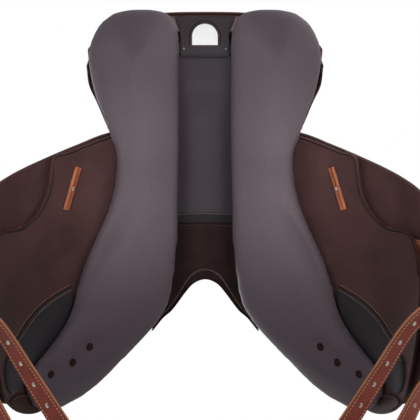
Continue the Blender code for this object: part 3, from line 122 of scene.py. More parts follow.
SWEAT_FLAP_OUTLINE = millimetres(
    (-34, -116, 112), (-15, -140, 115), (10, -164, 115.5), (40, -187, 114.5), (70, -206, 112),
    (100, -220, 109.5), (128, -229, 107), (134, -230.5, 80), (140, -232, 63.5),
    (155, -236, 46.5), (174.5, -238, 37), (195.5, -232.5, 33), (220, -219, 38), (242, -197, 41),
    (252.5, -178, 36), (260.5, -148, 25.5), (267, -118, 12), (274.5, -80, -15))
FLAP_TOP_OUTLINE = millimetres(
    (-2, -157, 115.5), (32, -179, 114.5), (66, -198, 110.5), (96.4, -211.5, 107.8))
FLAP_OUTLINE = millimetres(
    (97, -212.5, 107.5), (130, -223.5, 105), (165, -227, 103), (200, -220, 100.5),
    (235, -202, 96), (270, -180, 86), (300, -161, 72), (328, -139, 50), (350, -115, 22),
    (366, -89, -8), (376, -63, -40))
KNEE_PAD_OUTLINE = millimetres(
    (104, -106, -79), (120, -133, -80.5), (142, -150, -83), (168, -165, -88.5),
    (193, -176, -98), (210, -183, -108), (234, -185, -120), (250, -170, -136))
KNEE_PAD_DEPTH = 0.006
CORNER_PATCH_OUTLINE = millimetres(
    (183, -234.5, -223), (195, -231.5, -205), (217, -219.5, -192.5), (234, -204, -190),
    (241, -196.5, -191))
CORNER_PATCH_DEPTH = 0.0022
KNEE_BLOCK_OUTLINE = millimetres(
    (60, -190, -172), (80, -200, -166), (120, -212, -170), (170, -216, -176), (200, -208, -174),
    (220, -196, -176))
THIGH_BLOCK_OUTLINE = millimetres(
    (225, -140, -92), (235, -144, -86), (245, -146, -84), (255, -140, -86))
BLOCK_LIFTS = (0.0046, 0.012)

# Panels: inner edge x, y, z, outer edge x, y, z, depth of the bearing side, depth of the back
PANEL_SECTIONS = millimetres(
    (70, 277, 14, 106, 277, 14, 4, 6), (47, 273, 12, 125, 271.5, 10, 14, 18),
    (35, 256, -2, 143.5, 254.5, 2, 26, 32), (33.5, 224, -12, 154.5, 224, -10, 36, 50),
    (33.5, 182.5, -16, 150, 182.5, -14, 34, 55), (33.5, 140, -22, 137, 140, -30, 26, 60),
    (33.5, 101, -26, 117.2, 102, -48, 18, 60), (34, 60, -26, 118, 62, -46, 17, 60),
    (35, 15, -26, 126.5, 24, -50, 17, 60), (36.5, -30, -26.5, 140, -8, -61, 17, 60),
    (41.5, -80, -28, 155.5, -43, -77.5, 17, 60), (49, -124, -28.5, 168, -77, -89, 16, 60),
    (65, -155, -31, 178, -111, -101, 14, 56), (86, -178, -41, 192.5, -132.5, -119, 12, 50),
    (112, -200, -57, 208, -148.8, -141, 11, 44), (142, -224, -79, 220, -158.5, -160, 10, 38),
    (167.5, -237, -99.5, 227, -167, -171, 9, 32),
    (190, -241.5, -121, 230.5, -179, -175.5, 7, 28),
    (208, -239, -138.5, 230, -195, -174, 5, 22), (217.5, -232, -150, 226.5, -212, -166, 3, 16))
PANEL_INNER = [Vector(row[0:3]) for row in PANEL_SECTIONS]
PANEL_OUTER = [Vector(row[3:6]) for row in PANEL_SECTIONS]
PANEL_DEPTHS = [Vector((row[6], row[7], 0)) for row in PANEL_SECTIONS]
PANEL_SQUARENESS = 0.72
PANEL_BEARING_SQUARENESS = 1.12
PANEL_ROUND = 56
PANEL_STATIONS = 96
PANEL_VOXEL = 0.0048
PANEL_FRAMES = 20
PANEL_PRESSURE = 4.0
PANEL_START_SHRINK = 0.0012
PANEL_GIVE = 0.3
TUFT_PLACES = millimetres((151.4, -160), (172.9, -174), (199.9, -179.3))
DIMPLE_DEPTH = 0.0082
DIMPLE_RADIUS = 0.0175
TUFT_RADIUS = 0.0056
TUFT_HEIGHT = 0.0024
TUFT_KNOBS = 10
KNOB_RADIUS = 0.0011
KNOB_HEIGHT = 0.0016
FOLD_COUNT = 5
FOLD_SHARE = 0.05
FOLD_REACH = 0.01
FOLD_WIDTH = 0.007

# Seat, as in the CAD model
SEAT_Y = (-0.112, 0.246)
CANTLE_ROUNDING = 0.045
POMMEL_SWEEP = 0.03
SEAT_HALF_WIDTHS = (
    (0, 0.055), (0.1, 0.067), (0.2, 0.073), (0.3, 0.0775), (0.4, 0.085), (0.5, 0.0985),
    (0.6, 0.1175), (0.7, 0.1355), (0.8, 0.1485), (0.9, 0.1575), (1, 0.1615))
SEAT_MIDDLE_HEIGHTS = (
    (0, 0.06), (0.08, 0.066), (0.2, 0.062), (0.35, 0.055), (0.5, 0.053), (0.62, 0.059),
    (0.75, 0.077), (0.87, 0.104), (0.96, 0.13), (1, 0.136))
SEAT_EDGE_HEIGHTS = (
    (0, 0.036), (0.1, 0.037), (0.25, 0.033), (0.4, 0.031), (0.5, 0.033), (0.6, 0.04),
    (0.72, 0.057), (0.85, 0.084), (0.95, 0.105), (1, 0.112))
SEAT_DISH_POWER = 2.4
SEAT_LEATHER = 0.003
RIM_START_Q = 0.5
RIM_CORNERS = (0.35, 0.65)
FACING_SPAN = (0.1, 0.9)
FACING_INSET = 0.0012
FACING_TOP_DROP = 0.0066
FACING_LEATHER = 0.0025
FACING_FOOT_GAP = 0.0008
PIPING_RADIUS = 0.002
PIPING_RISE = -0.0004

# Channel and gusset
CHANNEL_REAR_Y = 0.2145
CHANNEL_BAND_Y = -0.0135
CHANNEL_FRONT_Y = -0.0272
LINING_HALF_WIDTH = 0.053
ARCH_EDGE = millimetres(
    (-10, -115.8), (0, -113.5), (10, -115.8), (20, -122.2), (30, -134.2), (42, -150.8),
    (50, -160.3), (61, -169), (74, -184), (80, -191))
ARCH_FOOT_HALF_WIDTH = 0.077
ARCH_LEG_SHARE = 0.41
ARCH_WELT_INSET = millimetres((0, 15), (20, 15), (36, 11.8), (58, 6.2), (74, 4.5))
GUSSET_HALF_WIDTHS = (0.0325, 0.0405)
GUSSET_FLARE_Y = 0.238
GUSSET_Y = (0.212, 0.266)
GUSSET_LIFTS = (-0.0041, -0.0006)
BADGE_HALF_WIDTH = 0.0172
BADGE_FRONT_Y = 0.2279
BADGE_LENGTH = 0.0281
BADGE_LIFTS = (-0.0052, -0.0044)
GUSSET_RIVET_PLACE = (0.0285, 0.2224)
GUSSET_RIVET_RADIUS = 0.0016
GUSSET_RIVET_HEIGHT = 0.001
BADGE_WELT_MARGIN = 0.0036
BADGE_STITCH_MARGIN = 0.0062

# Billets and keepers
BILLET_WIDTH = 0.024
BILLET_LEATHER = 0.004
BILLET_DRIFT_STEPS = 16
BILLET_ROUNDING = 0.01
BILLET_HOLE_PITCH = 0.028
BILLET_HOLE_COUNT = 8
BILLET_TIP_MARGIN = 0.03
BILLET_STEPS = 150
BILLET_FINISHES = "billet_leather tan_edge core_nylon"
BILLET_DRIFT = {
    "rear": millimetres((46, 25), (110, 19.5), (190, 18), (250, 21.5), (330, 38)),
    "front": millimetres((46, -14), (150, -16.5), (250, -18), (330, -14))}
BILLET_FREE_POINTS = {
    "rear": millimetres(
        (301, 40, -333), (290, 37.5, -364), (264, 26.2, -386), (232.7, 6.1, -405),
        (198.3, -37.7, -432), (163.3, -82.5, -460), (126, -129, -488)),
    "front": millimetres(
        (302, -15, -335), (295, -23, -368), (275, -41, -396), (250, -62, -420),
        (229, -88, -446), (207, -121, -472), (183, -156, -496))}
BILLET_END_NORMAL = (0.25, 0.15, -0.95)
KEEPER_TOP = (0.0845, 0.085)
KEEPER_BOTTOM = (0.1095, 0.0325)
KEEPER_WIDTH = 0.009
KEEPER_LIFTS = (-0.0025, -0.0003)
KEEPER_STUD_RADIUS = 0.0026
KEEPER_STUD_HEIGHT = 0.0014

# Skirts
SKIRT_OUTLINE = (
    (0, -0.085, 0.02), (0.2, -0.118, 0.072), (0.45, -0.13, 0.086), (0.7, -0.134, 0.085),
    (0.87, -0.126, 0.073), (1, -0.104, 0.045))
SKIRT_TOP = ((0.0688, -0.085), (0.0832, 0.02))
SKIRT_END_S = 0.088
SKIRT_LEATHER = 0.004
SKIRT_LIFTS = (
    (0, 0.025), (0.18, 0.036), (0.33, 0.041), (0.55, 0.0385), (0.78, 0.029), (1, 0.0205))

# Dees and nails
DEE_WIDTH = 0.02
DEE_DROP = 0.018
DEE_WIRE_RADIUS = 0.0014
DEE_HINGE_LIFT = 0.0043
FRONT_DEE_PLACE = (0.013, -0.149)
REAR_DEE_T = 0.4
REAR_DEE_SHARE = 0.42
DEE_ARC_STEPS = 40
NAIL_RADIUS = 0.0045
NAIL_HEIGHT = 0.0019

# Camera, as in the photo
PHOTO_TILT = math.radians(20)
PHOTO_CENTRE = (-0.0068, 0.0161, -0.0442)
LENS = 132.06


def mix(first, second, share):
    """Value or vector that lies the given share of the way from first to second."""
    return first + (second - first) * share


def steps(first, last, count):
    """Values or vectors at even steps from first to last."""
    return [mix(first, last, k / count) for k in range(count + 1)]


def ease(start, end, value):
    """Smooth step from 0 at start to 1 at end."""
    share = min(max((value - start) / (end - start), 0.0), 1.0)
    return share * share * (3 - 2 * share)


def smooth(points, at, column=1):
    """Value of one column at a place on a smooth curve through points in rising order."""
    if at <= points[0][0]:
        return points[0][column]
    if at >= points[-1][0]:
        return points[-1][column]
    index = next(i for i in range(len(points) - 1) if at <= points[i + 1][0])

    def slope(i):
        low, high = points[max(i - 1, 0)], points[min(i + 1, len(points) - 1)]
        return (high[column] - low[column]) / (high[0] - low[0])

    start, end = points[index], points[index + 1]
    span = end[0] - start[0]
    t = (at - start[0]) / span
    rise = (2 * t ** 3 - 3 * t ** 2 + 1) * start[column] + (3 * t ** 2 - 2 * t ** 3) * end[column]
    lean = (t ** 3 - 2 * t ** 2 + t) * slope(index) + (t ** 3 - t ** 2) * slope(index + 1)
    return rise + span * lean


def spline_point(points, at):
    """Vector at a share of the way along an even spline through vectors."""
    last = len(points) - 1
    place = min(max(at, 0.0), 1.0) * last
    index = min(int(place), last - 1)
    t = place - index
    before, after = points[max(index - 1, 0)], points[min(index + 2, last)]
    start, end = points[index], points[index + 1]
    return 0.5 * (2 * start + (end - before) * t
                  + (2 * before - 5 * start + 4 * end - after) * t ** 2
                  + (3 * start - before - 3 * end + after) * t ** 3)


def mirrored(point, side):
    """The point or direction on the named side of the saddle."""
    return Vector((side * point.x, point.y, point.z))


def bare(line):
    """Points of a line of points and normals."""
    return [point for point, _normal in line]


def carrier_normal(s):
    """Outward direction of the carrier at s on the left side."""
    angle = SHOULDER_ANGLE + s / (SIDE_RADIUS if s > 0 else BACK_RADIUS)
    return Vector((math.sin(angle), 0, math.cos(angle)))


def carrier(s, y, lift):
    """Point on the left side of the carrier."""
    if s > 0:
        centre, radius = Vector((SIDE_CENTRE_X, y, SIDE_CENTRE_Z)), SIDE_RADIUS
    else:
        centre, radius = Vector((0, y, BACK_CENTRE_Z)), BACK_RADIUS
    return centre + carrier_normal(s) * (radius + lift)


def carrier_place(point):
    """Place s and lift of a point on the left side of the carrier."""
    reach = Vector((point.x - SIDE_CENTRE_X, point.z - SIDE_CENTRE_Z))
    angle = math.atan2(reach.x, reach.y)
    if angle > SHOULDER_ANGLE:
        return (angle - SHOULDER_ANGLE) * SIDE_RADIUS, reach.length - SIDE_RADIUS
    reach = Vector((point.x, point.z - BACK_CENTRE_Z))
    angle = math.atan2(reach.x, reach.y)
    return (angle - SHOULDER_ANGLE) * BACK_RADIUS, reach.length - BACK_RADIUS


def top_height(x, y, lift):
    """Height of what lies on the panels: the carrier, and a rising table at the rear."""
    reach = abs(x)
    if reach < (BACK_RADIUS + lift) * math.sin(SHOULDER_ANGLE):
        height = BACK_CENTRE_Z + math.sqrt((BACK_RADIUS + lift) ** 2 - reach ** 2)
    else:
        height = SIDE_CENTRE_Z + math.sqrt(
            (SIDE_RADIUS + lift) ** 2 - (reach - SIDE_CENTRE_X) ** 2)
    table = REAR_TOP_Z + REAR_TOP_RISE * ease(REAR_BLEND[0], REAR_END_Y, y)
    return mix(height, table + lift, ease(*REAR_BLEND, y))


def bed_point(x, y, lift, rise=0.0):
    """Point above x and y on what lies on the panels."""
    return Vector((x, y, top_height(x, y, lift) + rise))


def outline_row(outline, s):
    """Front and rear y of an outline at s on a smooth edge."""
    return smooth(outline, s), smooth(outline, s, 2)


def crowded(share):
    """Share of the way with closer steps at both ends."""
    return share - 0.6 * math.sin(2 * math.pi * share) / (2 * math.pi)


def configure(item, **values):
    """Set several attributes of an item and give it back."""
    for name, value in values.items():
        setattr(item, name, value)
    return item


# Sizes and colours a user would change
def colour_setting(name, description, *default):
    """Colour that a user would change."""
    return bpy.props.FloatVectorProperty(name=name, description=description, default=default,
                                         subtype="COLOR", size=3, min=0.0, max=1.0)


def length_setting(name, description, low, high, default):
    """Length in metres that a user would change."""
    return bpy.props.FloatProperty(name=name, description=description, default=default,
                                   subtype="DISTANCE", min=low, max=high)


def light_setting(name, description, default):
    """Strength of a light that a user would change."""
    return bpy.props.FloatProperty(name=name, description=description, default=default,
                                   min=0.0)


class SaddleLeatherSettings(bpy.types.PropertyGroup):
    """Colours and grain of the saddle's leathers."""

    panel_colour: colour_setting(
        "Panel colour", "Soft leather of the panels", 0.112, 0.087, 0.102)
    channel_colour: colour_setting(
        "Channel colour", "Lining between the panels", 0.052, 0.043, 0.050)
    flap_colour: colour_setting(
        "Flap colour", "Brown leather of the flaps", 0.076, 0.038, 0.037)
    arch_colour: colour_setting(
        "Arch colour", "Brown lining round the front arch", 0.020, 0.0085, 0.0080)
    billet_colour: colour_setting(
        "Billet colour", "Red-brown leather of the girth straps", 0.275, 0.067, 0.047)
    keeper_colour: colour_setting(
        "Keeper colour", "Tan leather of the billet keepers", 0.380, 0.112, 0.050)
    grain_size: length_setting(
        "Grain size", "Width of one pebble of the leather's grain", 0.0003, 0.005, 0.0011)


class SaddleSewingSettings(bpy.types.PropertyGroup):
    """Sizes of the saddle's stitching, stuffing and holes."""

    stitch_length: length_setting(
        "Stitch length", "Length of one stitch", 0.001, 0.008, 0.0027)
    stitch_pitch: length_setting(
        "Stitch pitch", "Distance from one stitch to the next", 0.0015, 0.012, 0.0038)
    stitch_width: length_setting(
        "Stitch width", "Width of the sewing thread", 0.0003, 0.002, 0.0009)
    hole_width: length_setting(
        "Hole width", "Width of the punched holes in the girth straps", 0.002, 0.008, 0.0056)
    panel_swell: length_setting(
        "Panel swell", "Most that the stuffing may push a panel out", 0.0, 0.01, 0.004)


class SaddleStageSettings(bpy.types.PropertyGroup):
    """Lights and camera distance of the studio."""

    key_power: light_setting("Key power", "Power of each lamp under the saddle", 0.29)
    top_power: light_setting("Top power", "Power of the lamps above the saddle", 44.0)
    surround: light_setting("Surround", "Strength of the even light from all round", 0.06)
    camera_distance: length_setting(
        "Camera distance", "Distance from the camera to the panels", 0.5, 20.0, 2.08)
    floor_height: length_setting(
        "Floor height", "Height of the floor under the saddle", -5.0, 0.0, -0.5)


# Shader nodes
def fill(tree, node, inputs):
    """Give a node's inputs values, or links from sockets."""
    for name, value in inputs.items():
        if isinstance(value, bpy.types.NodeSocket):
            tree.links.new(value, node.inputs[name])
        else:
            node.inputs[name].default_value = value


def add_node(tree, kind, inputs, **properties):
    node = configure(tree.nodes.new("ShaderNode" + kind), **properties)
    fill(tree, node, inputs)
    return node


def add_math(tree, operation, first, second, clamp=False):
    return add_node(tree, "Math", {0: first, 1: second}, operation=operation,
                    use_clamp=clamp).outputs[0]


def add_mix(tree, share, first, second, blend="MIX"):
    """Mix of two colours."""
    return add_node(tree, "Mix", {0: share, 6: first, 7: second}, data_type="RGBA",
                    blend_type=blend).outputs[2]


def add_range(tree, value, low, high, to_low=0.0, to_high=1.0):
    return add_node(tree, "MapRange", {
        "Value": value, "From Min": low, "From Max": high, "To Min": to_low,
        "To Max": to_high}).outputs["Result"]


def add_noise(tree, place, scale, detail=2.0, roughness=0.5, distortion=0.0, output="Fac"):
    return add_node(tree, "TexNoise", {
        "Vector": place, "Scale": scale, "Detail": detail, "Roughness": roughness,
        "Distortion": distortion}).outputs[output]


def add_group(tree, name, inputs):
    return add_node(tree, "Group", inputs, node_tree=bpy.data.node_groups[name]).outputs


def new_group(name, inputs, outputs):
    """Empty shader node group with named sockets, its given sockets and its output node."""
    group = bpy.data.node_groups.new(name, "ShaderNodeTree")
    group.interface.new_socket(name="Vector", in_out="INPUT",
                               socket_type="NodeSocketVector")
    for label, value in inputs.items():
        kind = "NodeSocketColor" if isinstance(value, tuple) else "NodeSocketFloat"
        socket = group.interface.new_socket(name=label, in_out="INPUT", socket_type=kind)
        socket.default_value = value
    for label in outputs:
        kind = "NodeSocketColor" if label == "Color" else "NodeSocketFloat"
        group.interface.new_socket(name=label, in_out="OUTPUT", socket_type=kind)
    given = group.nodes.new("NodeGroupInput").outputs
    return group, given, group.nodes.new("NodeGroupOutput")


def build_grain_group():
    """Pebbled leather grain with pores: a height and a mask of the creases."""
    group, given, made = new_group("leather_grain", {"Scale": 900.0, "Pores": 0.3},
                                   ("Height", "Creases"))
    place, scale = given["Vector"], given["Scale"]
    warp = add_noise(group, place, 140.0, output="Color")
    bend = add_node(group, "VectorMath", {0: warp, 1: (0.0011, 0.0011, 0.0011)},
                    operation="MULTIPLY")
    bent = add_node(group, "VectorMath", {0: place, 1: bend.outputs[0]}, operation="ADD")
    cells = add_node(group, "TexVoronoi", {"Vector": bent.outputs[0], "Scale": scale},
                     feature="DISTANCE_TO_EDGE")
    pebble = add_range(group, cells.outputs["Distance"], 0.0, 0.22)
    pores = add_noise(group, place, add_math(group, "MULTIPLY", scale, 2.6), 3.0, 0.65)
    deep = add_math(group, "MULTIPLY", pores, given["Pores"])
    fill(group, made, {"Height": add_math(group, "ADD", pebble, deep),
                       "Creases": add_math(group, "SUBTRACT", 1.0, pebble)})


def build_tone_group():
    """Uneven dye: two colours mixed in soft patches, with scuffs that are paler and duller."""
    group, given, made = new_group(
        "leather_tone",
        {"Dark": (0, 0, 0, 1), "Light": (1, 1, 1, 1), "Creases": 0.0, "Patch Scale": 9.0,
         "Scuffs": 0.2, "Roughness": 0.5}, ("Color", "Roughness"))
    patches = add_noise(group, given["Vector"], given["Patch Scale"], 5.0, 0.55, 0.4)
    share = add_range(group, patches, 0.32, 0.68)
    colour = add_mix(group, share, given["Dark"], given["Light"])
    scratches = add_noise(group, given["Vector"], 62.0, 6.0, 0.7, 1.6)
    scuff = add_math(group, "MULTIPLY", add_range(group, scratches, 0.58, 0.78),
                     given["Scuffs"], True)
    paler = add_mix(group, 0.5, given["Light"], (0.42, 0.34, 0.30, 1.0))
    colour = add_mix(group, scuff, colour, paler)
    sunk = add_math(group, "MULTIPLY", given["Creases"], 0.35)
    duller = add_math(group, "MULTIPLY", scuff, 0.35)
    rough = add_math(group, "ADD", given["Roughness"], duller)
    uneven = add_range(group, patches, 0.3, 0.7, -0.05, 0.05)
    fill(group, made, {"Color": add_mix(group, sunk, colour, given["Dark"], "MULTIPLY"),
                       "Roughness": add_math(group, "ADD", rough, uneven, True)})


def build_scratched_group():
    """Metal worn by use: fine scratches and soft smears in tone and roughness."""
    group, given, made = new_group(
        "worn_metal", {"Tone": (0.7, 0.7, 0.7, 1), "Roughness": 0.2},
        ("Color", "Roughness", "Height"))
    long_way = add_node(group, "Mapping", {"Vector": given["Vector"],
                                           "Scale": (900.0, 60.0, 900.0)})
    lines = add_noise(group, long_way.outputs[0], 1.0, 4.0)
    smears = add_noise(group, given["Vector"], 70.0, 3.0)
    darker = add_mix(group, 0.6, given["Tone"], (0.12, 0.11, 0.10, 1.0))
    spots = add_range(group, smears, 0.5, 0.8, 0.0, 0.5)
    scratch = add_range(group, lines, 0.3, 0.7, -0.04, 0.12)
    rough = add_math(group, "ADD", given["Roughness"], scratch)
    fill(group, made, {"Color": add_mix(group, spots, given["Tone"], darker),
                       "Roughness": add_math(group, "ADD", rough, spots, True),
                       "Height": lines})


# Materials: each recipe gives its shader's inputs, and its bump's height, strength and depth
def make_material(name, recipe, *values):
    """Material made by a recipe on the piece's own coordinates."""
    made = bpy.data.materials.new(name)
    made.use_nodes = True
    tree = made.node_tree
    place = tree.nodes.new("ShaderNodeTexCoord").outputs["Object"]
    inputs, height, strength, depth = recipe(tree, place, *values)
    relief = add_node(tree, "Bump", {"Height": height, "Strength": strength,
                                     "Distance": depth})
    fill(tree, tree.nodes["Principled BSDF"], {**inputs, "Normal": relief.outputs["Normal"]})


def tinted(colour, factor=1.0):
    return (*[min(channel * factor, 1.0) for channel in colour], 1.0)


def two_tones(tree, share, colour, first, second):
    """Mix of one colour at two levels."""
    return add_mix(tree, share, tinted(colour, first), tinted(colour, second))


def grained_leather(tree, place, colour, roughness, contrast, grain, depth, patch_scale,
                    scuffs, specular, coat=0.0):
    """Grained leather with uneven dye, creases and scuffs."""
    scale = grain / bpy.context.scene.saddle_leather.grain_size
    grained = add_group(tree, "leather_grain", {"Vector": place, "Scale": scale})
    toned = add_group(tree, "leather_tone", {
        "Vector": place, "Dark": tinted(colour, 1 - contrast),
        "Light": tinted(colour, 1 + contrast), "Creases": grained["Creases"],
        "Patch Scale": patch_scale, "Scuffs": scuffs, "Roughness": roughness})
    inputs = {"Base Color": toned["Color"], "Roughness": toned["Roughness"],
              "Specular IOR Level": specular, "Coat Weight": coat, "Coat Roughness": 0.35}
    return inputs, grained["Height"], depth, 0.00025


def cut_edge(tree, place, colour):
    """Burnished cut edge of leather, with its layers showing as fine lines."""
    fibres = add_noise(tree, place, 700.0, 4.0, 0.7)
    share = add_math(tree, "ADD", add_math(tree, "MULTIPLY", fibres, 0.7),
                     add_math(tree, "MULTIPLY", add_noise(tree, place, 60.0), 0.4))
    tone = two_tones(tree, add_range(tree, share, 0.35, 0.75), colour, 0.72, 1.25)
    rough = add_range(tree, fibres, 0.3, 0.7, 0.5, 0.7)
    inputs = {"Base Color": tone, "Roughness": rough, "Specular IOR Level": 0.04}
    return inputs, fibres, 0.35, 0.0002


def waxed_thread(tree, place, colour):
    """Twisted waxed thread."""
    turned = add_node(tree, "Mapping", {"Vector": place, "Rotation": (0.6, 0.5, 0.8)})
    twist = add_node(tree, "TexWave", {
        "Vector": turned.outputs[0], "Scale": 900.0, "Distortion": 2.0,
        "Detail": 2.0}).outputs["Fac"]
    inputs = {"Base Color": two_tones(tree, twist, colour, 0.62, 1.18),
              "Roughness": add_range(tree, twist, 0.0, 1.0, 0.5, 0.75)}
    return inputs, twist, 0.4, 0.0001


def worn_metal(tree, place, tone, roughness):
    """Nickel or steel, lightly scratched."""
    worn = add_group(tree, "worn_metal", {"Vector": place, "Tone": tinted(tone),
                                          "Roughness": roughness})
    inputs = {"Base Color": worn["Color"], "Roughness": worn["Roughness"], "Metallic": 1.0}
    return inputs, worn["Height"], 0.08, 0.0001


def enamel(tree, place, tone):
    """Smooth enamel with a little unevenness."""
    uneven = add_noise(tree, place, 240.0, 3.0)
    tone = two_tones(tree, add_range(tree, uneven, 0.35, 0.7), tone, 1.0, 0.93)
    rough = add_range(tree, uneven, 0.3, 0.7, 0.22, 0.36)
    return {"Base Color": tone, "Roughness": rough}, uneven, 0.06, 0.0002


def flax_webbing(tree, place, colour):
    """Webbing of crossed threads with dark gaps between them."""
    waves = [add_node(tree, "TexWave", {
        "Vector": place, "Scale": 190.0, "Distortion": 0.6, "Detail": 1.0},
        bands_direction=way).outputs["Fac"] for way in ("X", "Y")]
    height = add_math(tree, "MAXIMUM", *waves)
    gaps = add_math(tree, "SUBTRACT", 1.0, height, True)
    inputs = {"Base Color": two_tones(tree, gaps, colour, 1.05, 0.35), "Roughness": 0.85}
    return inputs, height, 0.6, 0.0004


def beech_laminate(tree, place, colour):
    """Beech laminate of the tree, with long grain."""
    stretched = add_node(tree, "Mapping", {"Vector": place, "Scale": (90.0, 8.0, 90.0)})
    grain = add_noise(tree, stretched.outputs[0], 1.0, 6.0, 0.5, 0.8)
    tone = two_tones(tree, add_range(tree, grain, 0.3, 0.7), colour, 0.6, 1.3)
    rough = add_range(tree, grain, 0.3, 0.7, 0.4, 0.6)
    return {"Base Color": tone, "Roughness": rough}, grain, 0.2, 0.0003


def open_foam(tree, place, colour):
    """Open foam with small pores."""
    pores = add_node(tree, "TexVoronoi", {"Vector": place, "Scale": 800.0})
    pores = pores.outputs["Distance"]
    inputs = {"Base Color": two_tones(tree, pores, colour, 0.6, 1.1), "Roughness": 0.95}
    return inputs, pores, 0.6, 0.0005


class SADDLE_OT_materials(bpy.types.Operator):
    """Make the node groups and the leathers, threads and metals"""

    bl_idname = "saddle.materials"
    bl_label = "Make Materials"

    def execute(self, context):
        build_grain_group()
        build_tone_group()
        build_scratched_group()
        dyes = context.scene.saddle_leather
        # Leathers: colour, roughness, contrast, grain, depth, patches, scuffs, specular, coat
        for recipe, finishes in (
                (grained_leather, (
                    ("panel_leather", dyes.panel_colour, .58, .06, 1, .30, 6, .02, .10),
                    ("channel_leather", dyes.channel_colour, .58, .08, 1, .35, 6, .03, .09),
                    ("band_leather", (.022, .019, .021), .52, .12, 1, .30, 9, .04, .10),
                    ("flap_leather", dyes.flap_colour, .55, .22, .9, .45, 14, .08, .09),
                    # Flap leather at 0.72 of its colour: painted shade for the flap faces turned
                    # downward.
                    ("flap_underside", tinted(dyes.flap_colour, 0.72)[:3], .58, .12, .9, .35,
                     10, .05, .08),
                    ("arch_leather", dyes.arch_colour, .46, .30, .7, .65, 40, .08, .10),
                    ("worn_leather", (.110, .072, .068), .42, .20, .8, .40, 60, .30, .16),
                    ("patch_leather", (.036, .017, .014), .50, .30, .7, .55, 60, .20, .05),
                    ("pad_leather", (.034, .030, .034), .50, .10, 1.1, .30, 9, .03, .09),
                    ("billet_leather", dyes.billet_colour, .40, .24, .8, .35, 26, .10, .16),
                    ("keeper_leather", dyes.keeper_colour, .45, .24, .8, .35, 60, .12, .16),
                    ("seat_leather", (.062, .029, .024), .44, .14, 1, .35, 9, .06, .20, .04),
                    ("welt_leather", (.026, .014, .013), .48, .10, 1.2, .30, 20, .05, .12),
                    ("cantle_leather", (.085, .036, .027), .48, .18, 1, .40, 20, .08, .14),
                    ("tuft_wool", (.040, .020, .017), .85, .25, 2, .90, 200, .05, .05))),
                (cut_edge, (
                    ("brown_edge", (.052, .026, .022)), ("tan_edge", (.44, .195, .110)))),
                (waxed_thread, (
                    ("brown_thread", (.130, .075, .058)), ("dark_thread", (.055, .040, .040)),
                    ("black_thread", (.009, .007, .007)), ("tan_thread", (.82, .46, .24)),
                    ("amber_thread", (.430, .270, .180)), ("core_nylon", (.82, .76, .68)))),
                (worn_metal, (
                    ("nickel", (.72, .71, .69), .18), ("forged_steel", (.46, .46, .47), .34))),
                (enamel, (("badge_white", (.86, .86, .86)),)),
                (flax_webbing, (("webbing", (.42, .36, .26)),)),
                (beech_laminate, (("laminate", (.26, .15, .07)),)),
                (open_foam, (("foam", (.60, .56, .44)),))):
            for name, *values in finishes:
                make_material(name, recipe, *values)
        return {"FINISHED"}


# Mesh helpers
def mesh_object(name, bm):
    """Object in the scene with a mesh, which is then freed."""
    mesh = bpy.data.meshes.new(name)
    bm.to_mesh(mesh)
    bm.free()
    made = bpy.data.objects.new(name, mesh)
    bpy.context.scene.collection.objects.link(made)
    return made


def bmesh_of(mesh):
    bm = bmesh.new()
    bm.from_mesh(mesh)
    return bm


def finish_piece(name, bm, finishes, node, whole=False, rounding=0.0, subdivisions=0,
                 sharp=40):
    """Finished piece of a CAD node, hung on the node's body if it has one and else on the root; a
    whole one replaces it.
    """
    piece = mesh_object(name, bm)
    for label in finishes.split():
        piece.data.materials.append(bpy.data.materials[label])
    piece.data.shade_smooth()
    piece.data.set_sharp_from_angle(angle=math.radians(sharp))
    if rounding:
        configure(piece.modifiers.new("soft edge", "BEVEL"), width=rounding, segments=2,
                  limit_method="ANGLE", angle_limit=math.radians(50))
    if subdivisions:
        configure(piece.modifiers.new("finer", "SUBSURF"), levels=subdivisions,
                  render_levels=subdivisions)
    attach(piece, node if node in frame["bodies"] else ROOT)
    if whole:
        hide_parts(node)
    return piece


def sheet_mesh(place, outer, inner, columns, rows, side=1):
    """Closed sheet between two levels of a surface: faces in material 0, cut edges in 1."""
    bm = bmesh.new()
    bmesh.ops.create_grid(bm, x_segments=columns, y_segments=rows, size=0.5)
    walls = bmesh.ops.extrude_face_region(bm, geom=bm.faces[:])
    inner_verts = {item for item in walls["geom"] if isinstance(item, bmesh.types.BMVert)}
    for face in bm.faces:
        below = sum(vert in inner_verts for vert in face.verts)
        face.material_index = 1 if 0 < below < len(face.verts) else 0
    for vert in bm.verts:
        level = inner if vert in inner_verts else outer
        vert.co = mirrored(place(vert.co.x + 0.5, vert.co.y + 0.5, level), side)
    bmesh.ops.recalc_face_normals(bm, faces=bm.faces)
    return bm


def rounded_rows(outline, v, radii):
    """Place s and the front and rear y of an outline at v, with rounded corners at its ends."""
    first, last = outline[0][0], outline[-1][0]
    s = mix(first, last, crowded(v))
    front, rear = outline_row(outline, s)
    for radius, away in zip(radii, (s - first, last - s)):
        if radius > away:
            inset = radius - math.sqrt(radius ** 2 - (radius - away) ** 2)
            front, rear = front + inset, rear - inset
    return s, front, rear


def carrier_sheet(outline, lifts, columns, rows, side, radii, shape=None):
    """Sheet on the carrier inside an outline, whose lifts a shape may change at u and v."""
    def place(u, v, lift):
        s, front, rear = rounded_rows(outline, v, radii)
        return carrier(s, mix(front, rear, crowded(u)), shape(u, v, lift) if shape else lift)
    return sheet_mesh(place, lifts[1], lifts[0], columns, rows, side)


def crowned(edge, crest, crown):
    """Shape that swells the face at the crest's lift, and leaves the other one flat."""
    return lambda u, v, lift: mix(edge, crest, crown(u, v)) if lift == crest else lift


def on_carrier(places, lift, outward=-1):
    """Line of points and normals at a lift on the carrier."""
    return [(carrier(s, y, lift), carrier_normal(s) * outward) for s, y in places]


